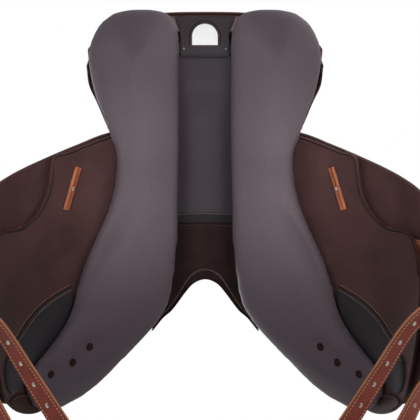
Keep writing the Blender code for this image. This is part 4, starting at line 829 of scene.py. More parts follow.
def seam(outline, inset, margins, count, lift, outward=-1, rear=True):
    """Line on the carrier beside the rear or front edge of an outline, moved in from it."""
    places = []
    for s in steps(outline[0][0] + margins[0], outline[-1][0] - margins[1], count):
        here, ahead, behind = [Vector((at, smooth(outline, at, 2 if rear else 1)))
                               for at in (s, s + SLOPE_STEP, s - SLOPE_STEP)]
        along = (ahead - behind).normalized()
        places.append(here + Vector((along.y, -along.x)) * (inset if rear else -inset))
    return on_carrier(places, lift, outward)


def pour(source, target):
    """Move everything in one mesh into another, which is quicker than adding it there."""
    mesh = bpy.data.meshes.new("part")
    source.to_mesh(mesh)
    source.free()
    target.from_mesh(mesh)
    bpy.data.meshes.remove(mesh)


def add_stitches(bm, line, side, length=0.0, pitch=0.0, width=0.0):
    """Row of stitches, evenly spaced along a line of points and normals."""
    sewing = bpy.context.scene.saddle_sewing
    length, pitch = length or sewing.stitch_length, pitch or sewing.stitch_pitch
    width = width or sewing.stitch_width
    line = [(mirrored(point, side), mirrored(normal, side)) for point, normal in line]
    reaches = [0.0]
    for (first, _a), (second, _b) in zip(line, line[1:]):
        reaches.append(reaches[-1] + (second - first).length)
    count = max(int((reaches[-1] - length) / pitch), 0)
    slack = (reaches[-1] - count * pitch) / 2
    index = 0
    batch = bmesh.new()
    for number in range(count + 1):
        at = slack + number * pitch
        while index < len(reaches) - 2 and reaches[index + 1] < at:
            index += 1
        (start, start_normal), (end, end_normal) = line[index:index + 2]
        share = (at - reaches[index]) / max(reaches[index + 1] - reaches[index], 1e-9)
        along = (end - start).normalized()
        across = mix(start_normal, end_normal, share).normalized().cross(along).normalized()
        normal = along.cross(across).normalized()
        turn = Matrix((along * length / 2, across * width / 2, normal * width * STITCH_HEIGHT))
        lifted = mix(start, end, share) + normal * width * (STITCH_HEIGHT - STITCH_SINK)
        matrix = Matrix.Translation(lifted) @ turn.transposed().to_4x4() @ STITCH_TURN
        bmesh.ops.create_uvsphere(batch, u_segments=6, v_segments=5, radius=1.0, matrix=matrix)
        if number % STITCH_BATCH == STITCH_BATCH - 1:
            pour(batch, bm)
            batch = bmesh.new()
    pour(batch, bm)


def stitch_piece(name, lines, thread, node, side=1, *sizes):
    """One piece with all the stitches along several lines."""
    bm = bmesh.new()
    for line in lines:
        add_stitches(bm, line, side, *sizes)
    finish_piece(name, bm, thread, node)


def evaluated_mesh(piece):
    """Bare copy of a piece's mesh with its modifiers applied."""
    graph = bpy.context.evaluated_depsgraph_get()
    return bpy.data.meshes.new_from_object(piece.evaluated_get(graph))


def tube_mesh(points, radius, side=1, closed=False, resolution=4):
    """Round tube through points, made from a bevelled curve."""
    curve = configure(bpy.data.curves.new("tube", "CURVE"), dimensions="3D",
                      bevel_depth=radius, bevel_resolution=resolution,
                      use_fill_caps=not closed)
    spline = curve.splines.new("POLY")
    spline.points.add(len(points) - 1)
    spline.use_cyclic_u = closed
    for target, point in zip(spline.points, points):
        target.co = (*mirrored(point, side), 1.0)
    maker = bpy.data.objects.new("tube", curve)
    bpy.context.scene.collection.objects.link(maker)
    mesh = evaluated_mesh(maker)
    bm = bmesh_of(mesh)
    bmesh.ops.remove_doubles(bm, verts=bm.verts, dist=1e-6)
    bmesh.ops.recalc_face_normals(bm, faces=bm.faces)
    bpy.data.objects.remove(maker)
    bpy.data.curves.remove(curve)
    bpy.data.meshes.remove(mesh)
    return bm


def domed_stud(bm, centre, normal, radius, height, segments=20):
    """Low dome with a rolled foot, standing on centre."""
    turn = Vector((0, 0, 1)).rotation_difference(normal).to_matrix().to_4x4()
    matrix = Matrix.Translation(centre) @ turn
    made = bmesh.ops.create_uvsphere(bm, u_segments=segments, v_segments=10, radius=1.0)
    for vert in made["verts"]:
        x, y, z = vert.co
        rise = z * height if z > 0 else z * height * 0.3
        vert.co = matrix @ Vector((x * radius, y * radius, rise))


def side_copy(bm, side):
    """Copy of a left mesh for the named side."""
    made = bm.copy()
    if side < 0:
        bmesh.ops.scale(made, vec=(-1, 1, 1), verts=made.verts)
        bmesh.ops.reverse_faces(made, faces=made.faces)
    return made


def soften(bm, times):
    """Smooth a mesh several times."""
    for _turn in range(times):
        bmesh.ops.smooth_vert(bm, verts=bm.verts, factor=0.5, use_axis_x=True,
                              use_axis_y=True, use_axis_z=True)


def refined_node(name, node, finish, rounding=0.0, subdivisions=0, sharp=32):
    """Copy of a CAD node with merged triangles and softened edges, which stands for it."""
    bm = bmesh_of(frame["nodes"][node].data)
    bmesh.ops.remove_doubles(bm, verts=bm.verts, dist=1e-5)
    bmesh.ops.dissolve_limit(bm, angle_limit=math.radians(1.5), verts=bm.verts,
                             edges=bm.edges)
    bm.normal_update()
    return finish_piece(name, bm, finish, node, True, rounding, subdivisions, sharp)


# Panels
def panel_point(u, v):
    """Point on a left panel: u runs once round the section, v from the rear to the tip."""
    inner, outer = spline_point(PANEL_INNER, v), spline_point(PANEL_OUTER, v)
    depths = spline_point(PANEL_DEPTHS, v)
    middle, half = (inner + outer) / 2, (outer - inner) / 2
    ahead, behind = [spline_point(PANEL_INNER, at) + spline_point(PANEL_OUTER, at)
                     for at in (v + 0.01, v - 0.01)]
    towards_horse = half.cross(ahead - behind).normalized()
    turn = 2 * math.pi * u
    across, down = math.cos(turn), math.sin(turn)
    depth = max((depths.x if down > 0 else depths.y) - PANEL_START_SHRINK, 0.001)
    square = PANEL_BEARING_SQUARENESS if down > 0 else PANEL_SQUARENESS
    swell = math.copysign(abs(down) ** square, down) * depth
    width = math.copysign(abs(across) ** square, across)
    return middle + half * (1 - PANEL_START_SHRINK / half.length) * width + towards_horse * swell


def panel_mesh():
    """Left panel as a lofted tube with closed ends, trimmed to the bed above it."""
    bm = bmesh.new()
    rings = []
    for index in range(PANEL_STATIONS + 1):
        ring = [bm.verts.new(panel_point((k + 0.5) / PANEL_ROUND, index / PANEL_STATIONS))
                for k in range(PANEL_ROUND)]
        rings.append([bm.edges.new((ring[k - 1], ring[k])) for k in range(PANEL_ROUND)])
    for first, second in zip(rings, rings[1:]):
        bmesh.ops.bridge_loops(bm, edges=first + second)
    bmesh.ops.holes_fill(bm, edges=[edge for edge in bm.edges if edge.is_boundary])
    for vert in bm.verts:
        limit = top_height(vert.co.x, vert.co.y, BED_LIFT - PANEL_START_SHRINK)
        vert.co.z = min(vert.co.z, limit)
    bmesh.ops.recalc_face_normals(bm, faces=bm.faces)
    return bm


def stuffed(bm):
    """Panel mesh after remeshing and a short cloth simulation under inner pressure."""
    worker = mesh_object("stuffing", bm)
    configure(worker.modifiers.new("voxels", "REMESH"), mode="VOXEL", voxel_size=PANEL_VOXEL)
    remeshed = evaluated_mesh(worker)
    worker.modifiers.clear()
    worker.data = remeshed
    start = bmesh_of(remeshed)
    soften(start, 4)
    start.to_mesh(remeshed)
    full = [vert.co + vert.normal * PANEL_START_SHRINK for vert in start.verts]
    start.free()
    moved = full
    cloth = worker.modifiers.new("stuffing", "CLOTH")
    configure(cloth.settings, use_pressure=True, uniform_pressure_force=PANEL_PRESSURE,
              quality=5, tension_stiffness=15, bending_stiffness=0.5)
    cloth.settings.effector_weights.gravity = 0.0
    configure(cloth.point_cache, frame_start=1, frame_end=PANEL_FRAMES)
    for number in range(1, PANEL_FRAMES + 1):
        bpy.context.scene.frame_set(number)
    moved = [vert.co.copy() for vert in evaluated_mesh(worker).vertices]
    bpy.context.scene.frame_set(1)
    bpy.data.objects.remove(worker)
    final = bmesh_of(remeshed)
    most = bpy.context.scene.saddle_sewing.panel_swell
    for vert, plain, new in zip(final.verts, full, moved):
        shift = new - plain
        if shift.length > most:
            shift *= most / shift.length
        co = plain + shift * PANEL_GIVE
        co.z = min(co.z, top_height(co.x, co.y, BED_LIFT))
        vert.co = co
    return final


def seat_against_flap(bm):
    """Keep the panel inside what it lies under: the knee pads and the corner patches."""
    for vert in bm.verts:
        co = vert.co
        for outline, depth in ((KNEE_PAD_OUTLINE, KNEE_PAD_DEPTH),
                               (CORNER_PATCH_OUTLINE, CORNER_PATCH_DEPTH)):
            s, lift = carrier_place(co)
            if not outline[0][0] - 0.004 < s < outline[-1][0] + 0.004:
                continue
            front, rear = outline_row(outline, s)
            deepest = -depth - 0.0008
            share = ease(-0.004, 0.0005, min(co.y - front, rear - co.y))
            if share > 0 and lift > deepest:
                vert.co = carrier(s, co.y, mix(lift, deepest, share))


def ways_round(normal):
    """Two directions square to a normal and to each other."""
    first = normal.orthogonal().normalized()
    return first, normal.cross(first)


def press_dimples(bm, seats):
    """Pull the leather in at each tuft, with small folds running out from it."""
    for vert in bm.verts:
        shift = Vector((0, 0, 0))
        for centre, normal in seats:
            away = vert.co - centre
            distance = away.length
            flat = away - normal * away.dot(normal)
            first, second = ways_round(normal)
            turn = math.atan2(flat.dot(second), flat.dot(first))
            ring = math.exp(-((distance - FOLD_REACH) / FOLD_WIDTH) ** 2)
            fold = FOLD_SHARE * math.cos(FOLD_COUNT * turn) * ring
            pull = math.exp(-(distance / DIMPLE_RADIUS) ** 2) + fold
            shift -= normal * DIMPLE_DEPTH * pull
        vert.co += shift


class SADDLE_OT_panels(bpy.types.Operator):
    """Stuff the panels, press their dimples and sew in the tufts"""

    bl_idname = "saddle.panels"
    bl_label = "Make Panels"

    def tufts(self, seats, side):
        """Wool tufts held by a ring of stitches, sitting in their dimples."""
        bm = bmesh.new()
        for centre, normal in seats:
            foot = mirrored(centre - normal * (DIMPLE_DEPTH - 0.0002), side)
            out = mirrored(normal, side)
            domed_stud(bm, foot, out, TUFT_RADIUS, TUFT_HEIGHT, 16)
            first, second = ways_round(out)
            for index in range(TUFT_KNOBS):
                turn = 2 * math.pi * index / TUFT_KNOBS
                way = first * math.cos(turn) + second * math.sin(turn)
                domed_stud(bm, foot + way * TUFT_RADIUS * 0.8, out, KNOB_RADIUS,
                           KNOB_HEIGHT, 8)
        return bm

    def execute(self, context):
        left = stuffed(panel_mesh())
        seat_against_flap(left)
        soften(left, 2)
        bmesh.ops.subdivide_edges(left, edges=left.edges, cuts=1, use_grid_fill=True,
                                  smooth=1.0)
        left.normal_update()
        below = BVHTree.FromBMesh(left)
        seats = []
        for x, y in TUFT_PLACES:
            hit, normal, _i, _distance = below.ray_cast(Vector((x, y, -1)), Vector((0, 0, 1)))
            seats.append((hit, normal.normalized()))
        press_dimples(left, seats)
        for name, side in SIDES:
            node = "panel_" + name
            panel = finish_piece("panel_cushion_" + name, side_copy(left, side),
                                 "panel_leather", node, True, sharp=180)
            finish_piece("panel_tufts_" + name, self.tufts(seats, side), "tuft_wool", node)
        left.free()
        return {"FINISHED"}


# Sweat flaps, main flaps and what lies between them
class SADDLE_OT_sweat_flaps(bpy.types.Operator):
    """Cut the sweat flaps and sew their edges"""

    bl_idname = "saddle.sweat_flaps"
    bl_label = "Make Sweat Flaps"

    def execute(self, context):
        outline = SWEAT_FLAP_OUTLINE
        end_s = outline[-1][0] - 0.0038
        front, rear = outline_row(outline, end_s)
        end = [(end_s, y) for y in steps(front + 0.008, rear - 0.008, 20)]
        lines = [seam(outline, 0.0036, (0.038, 0.006), 220, -SKIN),
                 seam(outline, 0.0042, (0.038, 0.006), 220, -SKIN, rear=False),
                 on_carrier(end, -SKIN)]
        welt = bare(seam(outline, 0.0018, (0.038, 0.003), 200, -0.0002))
        for name, side in SIDES:
            node = "sweat_flap_" + name
            bm = carrier_sheet(outline, SWEAT_LIFTS, 40, 130, side, (0.0, 0.008))
            finish_piece("sweat_leather_" + name, bm, "flap_leather brown_edge", node, True,
                         0.0009)
            stitch_piece("sweat_stitching_" + name, lines, "brown_thread", node, side)
            finish_piece("sweat_welt_" + name, tube_mesh(welt, 0.0011, side, resolution=3),
                         "welt_leather", node)
        return {"FINISHED"}


class SADDLE_OT_flaps(bpy.types.Operator):
    """Cut the main flaps and the nailed flap tops above their bend"""

    bl_idname = "saddle.flaps"
    bl_label = "Make Flaps"

    def execute(self, context):
        for name, side in SIDES:
            for prefix, outline, rows, radii in (
                    ("flap_", FLAP_OUTLINE, 110, (0.0, 0.012)),
                    ("flap_top_", FLAP_TOP_OUTLINE, 36, (0.010, 0.0))):
                node = prefix + name
                bm = carrier_sheet(outline, FLAP_LIFTS, 40, rows, side, radii)
                # Faces turned downward take the darker copy of the flap leather: painted shade on
                # the flaps' undersides.
                for face in bm.faces:
                    if face.material_index == 0 and face.normal.z < 0:
                        face.material_index = 2
                finish_piece(prefix + "leather_" + name, bm,
                             "flap_leather brown_edge flap_underside", node, True, 0.0009)
                lines = [seam(outline, 0.0045, (0.005, 0.007), 160, FLAP_LIFTS[1] + SKIN, 1,
                              rear) for rear in (True, False)]
                stitch_piece(prefix + "stitching_" + name, lines, "brown_thread", node, side)
        return {"FINISHED"}


class SADDLE_OT_pads(bpy.types.Operator):
    """Make the knee pads, corner patches, knee blocks and thigh blocks"""

    bl_idname = "saddle.pads"
    bl_label = "Make Pads and Blocks"

    def knee_pad(self, name, side):
        outline, node = KNEE_PAD_OUTLINE, "knee_pad_" + name
        shape = crowned(-0.0016, -KNEE_PAD_DEPTH, lambda u, v: (
            math.sin(math.pi * crowded(u)) ** 0.45 * math.sin(math.pi * v) ** 0.3))
        bm = carrier_sheet(outline, (-KNEE_PAD_DEPTH, -0.0003), 16, 70, side, (0.004, 0.01),
                           shape)
        pad = finish_piece("knee_cushion_" + name, bm, "pad_leather pad_leather", node, True,
                           0.0005, 1)
        piping = bare(seam(outline, -0.0006, (0.001, 0.002), 70, -0.0011))
        finish_piece("knee_piping_" + name, tube_mesh(piping, 0.0011, side, resolution=3),
                     "welt_leather", node)
        lines = [seam(outline, -0.0034, (0.001, 0.002), 70, -SKIN),
                 seam(outline, 0.0024, (0.004, 0.004), 70, -0.004)]
        stitch_piece("knee_stitching_" + name, lines, "amber_thread", node, side,
                     *PAD_STITCH)

    def corner_patch(self, name, side):
        outline, node = CORNER_PATCH_OUTLINE, "corner_patch_" + name
        bm = carrier_sheet(outline, (-CORNER_PATCH_DEPTH, -0.0003), 16, 40, side,
                           (0.005, 0.006))
        finish_piece("corner_leather_" + name, bm, "patch_leather brown_edge", node, True,
                     0.0007)
        arc = seam(outline, 0.0032, (0.004, 0.004), 40, -CORNER_PATCH_DEPTH - SKIN)
        stitch_piece("corner_stitching_" + name, [arc], "brown_thread", node, side)

    def block(self, prefix, outline, name, side):
        shape = crowned(BLOCK_LIFTS[0] + 0.0006, BLOCK_LIFTS[1], lambda u, v: (
            math.sin(math.pi * u) * math.sin(math.pi * v)) ** 0.3)
        bm = carrier_sheet(outline, BLOCK_LIFTS, 18, 60, side, (0.006, 0.006), shape)
        block = finish_piece(prefix + "cushion_" + name, bm, "flap_leather flap_leather",
                             prefix + name, True, 0.0004, 1)

    def execute(self, context):
        for name, side in SIDES:
            self.knee_pad(name, side)
            self.corner_patch(name, side)
            self.block("knee_block_", KNEE_BLOCK_OUTLINE, name, side)
            self.block("thigh_block_", THIGH_BLOCK_OUTLINE, name, side)
        return {"FINISHED"}


# Channel, front arch and gusset
def arch_place(u, v):
    """Place x and y on the arch lining: u runs across, v from the front edge to the band."""
    foot = ARCH_FOOT_HALF_WIDTH * (2 * u - 1)
    x = mix(foot, LINING_HALF_WIDTH * (2 * u - 1), min(2 * v, 1.0))
    share = mix(ARCH_LEG_SHARE, 1.0, 2 * v - 1) if v > 0.5 else 2 * v * ARCH_LEG_SHARE
    return x, mix(smooth(ARCH_EDGE, abs(foot)), CHANNEL_FRONT_Y - 0.0003, share)


def on_bed(places, lift):
    """Line of points and downward normals under the bed, from places x and y."""
    line = []
    for x, y in places:
        slopes = [(top_height(x + step_x, y + step_y, lift)
                   - top_height(x - step_x, y - step_y, lift)) / (2 * SLOPE_STEP)
                  for step_x, step_y in ((SLOPE_STEP, 0), (0, SLOPE_STEP))]
        normal = -Vector((-slopes[0], -slopes[1], 1)).normalized()
        line.append((bed_point(x, y, lift), normal))
    return line


def lining_mesh(place_of, lifts, columns, rows, crumple=0.0):
    """Lining between the panels, following the bed above it at places x and y."""
    def place(u, v, lift):
        x, y = place_of(u, v)
        fold = math.sin(310 * x + 90 * y) * math.sin(170 * y - 60 * x + 1.3)
        return bed_point(x, y, lift, crumple * fold)
    return sheet_mesh(place, lifts[1], lifts[0], columns, rows)


def straight_strip(front, rear):
    """Places across the channel's lining between two levels of y."""
    return lambda u, v: (LINING_HALF_WIDTH * (2 * u - 1), mix(front, rear, v))


def across_channel(y, lift):
    """Line across the channel's lining."""
    return on_bed([(x, y) for x in steps(-LINING_HALF_WIDTH, LINING_HALF_WIDTH, 40)], lift)


def along_arch(inset, sink):
    """Points along the arch, set in from its edge and down from its face."""
    end = ARCH_FOOT_HALF_WIDTH - 0.0015
    return [bed_point(x, smooth(ARCH_EDGE, abs(x)) + inset(x), LINING_LIFTS[0], -sink)
            for x in steps(-end, end, 120)]


class SADDLE_OT_channel(bpy.types.Operator):
    """Line the channel and the front arch, and sew their seams"""

    bl_idname = "saddle.channel"
    bl_label = "Make Channel"

    def execute(self, context):
        low, high = LINING_LIFTS
        band = straight_strip(CHANNEL_FRONT_Y, CHANNEL_BAND_Y)
        channel = straight_strip(CHANNEL_BAND_Y + 0.0003, CHANNEL_REAR_Y)
        for label, node, place_of, finish, columns, rows, crumple in (
                ("arch_lining", "gullet_lining", arch_place, "arch_leather", 72, 60, 0.00012),
                ("channel_front_band", "channel_band", band, "band_leather", 30, 6, 0.0),
                ("channel_long_lining", "channel_lining", channel, "channel_leather", 40, 120,
                 0.00008)):
            bm = lining_mesh(place_of, (low + crumple, high - crumple), columns, rows, crumple)
            finish_piece(label, bm, finish + " brown_edge", node, True, 0.0008)
        lines = [across_channel(y, low - SKIN)
                 for y in (CHANNEL_FRONT_Y - 0.0042, CHANNEL_BAND_Y + 0.0034)]
        stitch_piece("channel_stitching", lines, "dark_thread", "channel_lining", 1,
                     *LINING_STITCH)
        seam_line = bare(across_channel(CHANNEL_FRONT_Y - 0.0014, low))
        lip_line = bare(across_channel(CHANNEL_BAND_Y - 0.0006, low))
        edge = along_arch(lambda x: 0.0014, 0.0005)
        inner = along_arch(lambda x: smooth(ARCH_WELT_INSET, abs(x)), 0.0001)
        for label, line, radius, finish, node in (
                ("arch_welt", edge, 0.0014, "arch_leather", "gullet_lining"),
                ("arch_inner_welt", inner, 0.0010, "worn_leather", "gullet_lining"),
                ("arch_top_welt", seam_line, 0.0010, "arch_leather", "gullet_lining"),
                # The lip along the band's top is real, but its pale panel leather is a painted
                # highlight of the band's lit top edge.
                ("band_lip_painted_highlight", lip_line, 0.0007, "panel_leather", "channel_band")):
            finish_piece(label, tube_mesh(line, radius), finish, node)
        return {"FINISHED"}


def gusset_half_width(y):
    """Half width of the gusset, which widens between the rear lobes."""
    return mix(*GUSSET_HALF_WIDTHS, ease(GUSSET_FLARE_Y, GUSSET_Y[1], y))


def denser(path, step=0.0015):
    """The same path with points no further apart than a step."""
    line = []
    for (x, y), (next_x, next_y) in zip(path, path[1:]):
        count = max(int(math.hypot(next_x - x, next_y - y) / step), 1)
        line += [(mix(x, next_x, k / count), mix(y, next_y, k / count)) for k in range(count)]
    return line + [path[-1]]


def round_badge(margin):
    """Arch-topped path round the badge, from its left foot over the top."""
    half, foot = BADGE_HALF_WIDTH + margin, BADGE_FRONT_Y - 0.001
    top = foot + (BADGE_LENGTH + margin + 0.001 - half)
    arc = [(half * math.cos(turn), top + half * math.sin(turn))
           for turn in steps(0.0, math.pi, 24)]
    return denser([(half, foot)] + arc + [(-half, foot)])


class SADDLE_OT_gusset(bpy.types.Operator):
    """Make the rear gusset with its blank badge, stitching and rivets"""

    bl_idname = "saddle.gusset"
    bl_label = "Make Gusset"

    def execute(self, context):
        node, low = "rear_gusset", GUSSET_LIFTS[0]
        start, end = GUSSET_Y

        def tab(u, v):
            y = mix(start, end, v)
            return gusset_half_width(y) * (2 * u - 1), y

        def badge(u, v, lift):
            along = crowded(v) * BADGE_LENGTH
            over = max(along - (BADGE_LENGTH - BADGE_HALF_WIDTH), 0.0) / BADGE_HALF_WIDTH
            half = BADGE_HALF_WIDTH * math.sqrt(max(1 - min(over, 0.995) ** 2, 0.0))
            return bed_point(half * (2 * u - 1), BADGE_FRONT_Y + along, lift)

        finish_piece("gusset_leather", lining_mesh(tab, GUSSET_LIFTS, 40, 36),
                     "channel_leather brown_edge", node, True, 0.0008)
        finish_piece("badge_plate", sheet_mesh(badge, BADGE_LIFTS[1], BADGE_LIFTS[0], 24, 60),
                     "badge_white badge_white", "rear_badge", True, 0.00025)
        welt = [bed_point(x, y, low, -0.0001) for x, y in round_badge(BADGE_WELT_MARGIN)]
        finish_piece("badge_welt", tube_mesh(welt, 0.0009), "welt_leather", node)
        flank = steps(start + 0.009, end - 0.003, 12)
        border = [(gusset_half_width(y) - 0.003, y) for y in flank]
        border += [(0.003 - gusset_half_width(y), y) for y in reversed(flank)]
        lines = [on_bed(path, low - SKIN)
                 for path in (round_badge(BADGE_STITCH_MARGIN), denser(border))]
        stitch_piece("gusset_stitching", lines, "dark_thread", node, 1, *LINING_STITCH)
        edge = GUSSET_HALF_WIDTHS[0] - 0.004
        lines = [on_bed([(x, start + 0.0015), (x, start + 0.0058)], low - SKIN)
                 for x in steps(-edge, edge, int(2 * edge / 0.0022))]
        stitch_piece("gusset_whipping", lines, "black_thread", node, 1, *WHIP_STITCH)
        hem = [bed_point(x, start + 0.0004, low + 0.0004)
               for x in steps(-edge - 0.003, edge + 0.003, 30)]
        finish_piece("gusset_seam", tube_mesh(hem, 0.0007), "black_thread", node)
        studs = bmesh.new()
        x, y = GUSSET_RIVET_PLACE
        for _name, side in SIDES:
            domed_stud(studs, mirrored(bed_point(x, y, low), side), Vector((0, 0, -1)),
                       GUSSET_RIVET_RADIUS, GUSSET_RIVET_HEIGHT, 16)
        finish_piece("gusset_studs", studs, "nickel", node)
        return {"FINISHED"}


# Billets and their keepers
def billet_line(which):
    """Middle line of a left billet as rows of length, x, y, z and the outward direction."""
    drift, free = BILLET_DRIFT[which], BILLET_FREE_POINTS[which]
    line = [(carrier(s, smooth(drift, s), BILLET_LIFT), carrier_normal(s))
            for s in steps(drift[0][0], drift[-1][0], BILLET_DRIFT_STEPS)]
    last, end = line[-1][1], Vector(BILLET_END_NORMAL).normalized()
    for index, point in enumerate(free):
        line.append((Vector(point), mix(last, end, (index + 1) / len(free)).normalized()))
    rows, length = [], 0.0
    for index, (point, normal) in enumerate(line):
        if index:
            length += (point - line[index - 1][0]).length
        rows.append((length, *point, *normal))
    return rows


def billet_frame(rows, at):
    """Middle point, outward direction and sideways direction at a length along a billet."""
    def place(length, first=1):
        return Vector([smooth(rows, length, column) for column in range(first, first + 3)])

    along = (place(at + SLOPE_STEP) - place(at - SLOPE_STEP)).normalized()
    outward = place(at, 4)
    outward = (outward - along * outward.dot(along)).normalized()
    return place(at), outward, along.cross(outward)


def billet_half_width(at, total):
    """Half width of a billet, which narrows at its rounded ends."""
    ends = min(at, total - at) / BILLET_ROUNDING
    return BILLET_WIDTH / 2 * (1 - 0.62 * max(1 - ends, 0.0) ** 2)


def flat_billet(total, hole_places):
    """Flat strap of the given length with round holes, its width along x, its length along y."""
    bm = bmesh.new()
    bmesh.ops.create_grid(bm, x_segments=10, y_segments=BILLET_STEPS, size=0.5)
    for vert in bm.verts:
        at = (vert.co.y + 0.5) * total
        vert.co = (vert.co.x * 2 * billet_half_width(at, total), at, -BILLET_LEATHER / 2)
    walls = bmesh.ops.extrude_face_region(bm, geom=bm.faces[:])
    top = [item for item in walls["geom"] if isinstance(item, bmesh.types.BMVert)]
    bmesh.ops.translate(bm, verts=top, vec=(0, 0, BILLET_LEATHER))
    bmesh.ops.recalc_face_normals(bm, faces=bm.faces)
    for face in bm.faces:
        face.material_index = 0 if abs(face.normal.z) > 0.9 else 1
    rims = [edge for edge in bm.edges if len(edge.link_faces) == 2
            and edge.calc_face_angle() > 1.0]
    bmesh.ops.bevel(bm, geom=rims, offset=0.0009, segments=2, profile=0.5,
                    affect="EDGES", material=-1)
    strap = mesh_object("strap", bm)
    punches = bmesh.new()
    radius = bpy.context.scene.saddle_sewing.hole_width / 2
    for at in hole_places:
        bmesh.ops.create_cone(punches, cap_ends=True, segments=20, radius1=radius,
                              radius2=radius, depth=3 * BILLET_LEATHER,
                              matrix=Matrix.Translation((0, at, 0)))
    for face in punches.faces:
        face.material_index = 2
    punch = mesh_object("punch", punches)
    for label in BILLET_FINISHES.split():
        strap.data.materials.append(bpy.data.materials[label])
        punch.data.materials.append(bpy.data.materials[label])
    configure(strap.modifiers.new("holes", "BOOLEAN"), operation="DIFFERENCE",
              solver="EXACT", object=punch)
    made = bmesh_of(evaluated_mesh(strap))
    bmesh.ops.remove_doubles(made, verts=made.verts, dist=1e-6)
    for worker in (strap, punch):
        bpy.data.objects.remove(worker)
    return made


class SADDLE_OT_billets(bpy.types.Operator):
    """Cut, punch and sew the four girth straps"""

    bl_idname = "saddle.billets"
    bl_label = "Make Billets"

    def thread_line(self, rows, way, face):
        """Line of stitches near one edge, on one face of a billet."""
        line, total = [], rows[-1][0]
        for at in steps(0.004, total - 0.006, 120):
            middle, outward, sideways = billet_frame(rows, at)
            across = (billet_half_width(at, total) - 0.0032) * way
            lift = (BILLET_LEATHER / 2 + SKIN) * face
            line.append((middle + sideways * across + outward * lift, outward * face))
        return line

    def execute(self, context):
        for which in ("front", "rear"):
            rows = billet_line(which)
            total = rows[-1][0]
            holes = [total - BILLET_TIP_MARGIN - BILLET_HOLE_PITCH * index
                     for index in range(BILLET_HOLE_COUNT)]
            flat = flat_billet(total, holes)
            places = {}
            for vert in flat.verts:
                key = round(vert.co.y, 6)
                if key not in places:
                    places[key] = billet_frame(rows, vert.co.y)
                middle, outward, sideways = places[key]
                vert.co = middle + sideways * vert.co.x + outward * vert.co.z
            lines = [self.thread_line(rows, way, face) for way in (-1, 1) for face in (-1, 1)]
            for name, side in SIDES:
                node = f"billet_{which}_{name}"
                bm = side_copy(flat, side)
                bmesh.ops.recalc_face_normals(bm, faces=bm.faces)
                finish_piece(f"billet_strap_{which}_{name}", bm, BILLET_FINISHES, node, True,
                             sharp=30)
                stitch_piece(f"billet_stitching_{which}_{name}", lines, "tan_thread", node,
                             side, *STRAP_STITCH)
            flat.free()
        return {"FINISHED"}


class SADDLE_OT_keepers(bpy.types.Operator):
    """Make the tan billet keepers with their studs"""

    bl_idname = "saddle.keepers"
    bl_label = "Make Keepers"

    def place(self, along, across, lift):
        """Point and downward normal at a length along a keeper and a distance across it."""
        start, end = Vector(KEEPER_TOP), Vector(KEEPER_BOTTOM)
        way = (end - start).normalized()
        spot = start + way * along + Vector((way.y, -way.x)) * across
        return carrier(spot.x, spot.y, lift), -carrier_normal(spot.x)

    def execute(self, context):
        length = (Vector(KEEPER_BOTTOM) - Vector(KEEPER_TOP)).length
        low, high = KEEPER_LIFTS
        beside = -KEEPER_WIDTH / 2

        def strip(u, v, lift):
            arch = 1 - (2 * u - 1) ** 2
            deeper = -0.0004 * arch if lift == low else 0.0
            return self.place(length * crowded(v), KEEPER_WIDTH * (u - 0.5), lift + deeper)[0]

        lines = [[self.place(along, across, low - 0.0003)
                  for along in steps(0.003, length - 0.003, 40)]
                 for across in (-0.0027, 0.0027)]
        point, normal = self.place(length / 2, 0.0, low - 0.0002)
        for name, side in SIDES:
            node = "billet_keeper_" + name
            finish_piece("keeper_strip_" + name, sheet_mesh(strip, high, low, 10, 60, side),
                         "keeper_leather tan_edge", node, True, 0.0007)
            stitch_piece("keeper_stitching_" + name, lines, "brown_thread", node, side,
                         *KEEPER_STITCH)
            # The near-black tube laid on the flap beside the lip is painted shadow, standing for
            # the dark of the slot the keeper sits in.
            for label, start, end, across, lift, radius, finish in (
                    ("groove", 0.0, 0.004, -0.0009, low - 0.0002, 0.0005, "welt_leather"),
                    ("painted_slot_shadow", 0.001, 0.001, beside - 0.0023, -0.0001, 0.0008, "band_leather"),
                    ("lip", 0.0, 0.0, beside - 0.0009, -0.0010, 0.0008, "keeper_leather")):
                line = [self.place(along, across, lift)[0]
                        for along in steps(start, length - end, 30)]
                finish_piece(f"keeper_{label}_{name}", tube_mesh(line, radius, side), finish,
                             node)
            stud = bmesh.new()
            domed_stud(stud, mirrored(point, side), mirrored(normal, side),
                       KEEPER_STUD_RADIUS, KEEPER_STUD_HEIGHT)
            finish_piece("keeper_stud_" + name, stud, "nickel", node)
        return {"FINISHED"}


# Seat
def seat_plan(p, q):
    """Place in plan: p runs from -1 to 1 across, q from 0 at the pommel to 1 at the cantle."""
    y = mix(*SEAT_Y, q)
    y -= CANTLE_ROUNDING * ease(0.7, 1.0, q) * abs(p) ** 4
    y -= POMMEL_SWEEP * (1 - ease(0.0, 0.3, q)) * abs(p) ** 1.5
    return p * smooth(SEAT_HALF_WIDTHS, q), y


def seat_height(p, q):
    """Height of the seat's top."""
    middle, edge = smooth(SEAT_MIDDLE_HEIGHTS, q), smooth(SEAT_EDGE_HEIGHTS, q)
    return mix(middle, edge, abs(p) ** SEAT_DISH_POWER)


def seat_point(p, q, depth=0.0):
    return Vector((*seat_plan(p, q), seat_height(p, q) - depth))


def seat_normal(p, q):
    """Upward direction of the seat's top."""
    step = 0.004
    across = seat_point(p + step, q) - seat_point(p - step, q)
    along = seat_point(p, q + step) - seat_point(p, q - step)
    return across.cross(along).normalized()


def rim_point(t):
    """Place on the seat's rim in plan, from the left waist round the cantle to the right."""
    first, second = RIM_CORNERS
    if t < first:
        return 1.0, mix(RIM_START_Q, 1.0, t / first)
    if t > second:
        return -1.0, mix(1.0, RIM_START_Q, (t - second) / (1 - second))
    return mix(1.0, -1.0, (t - first) / (second - first)), 1.0


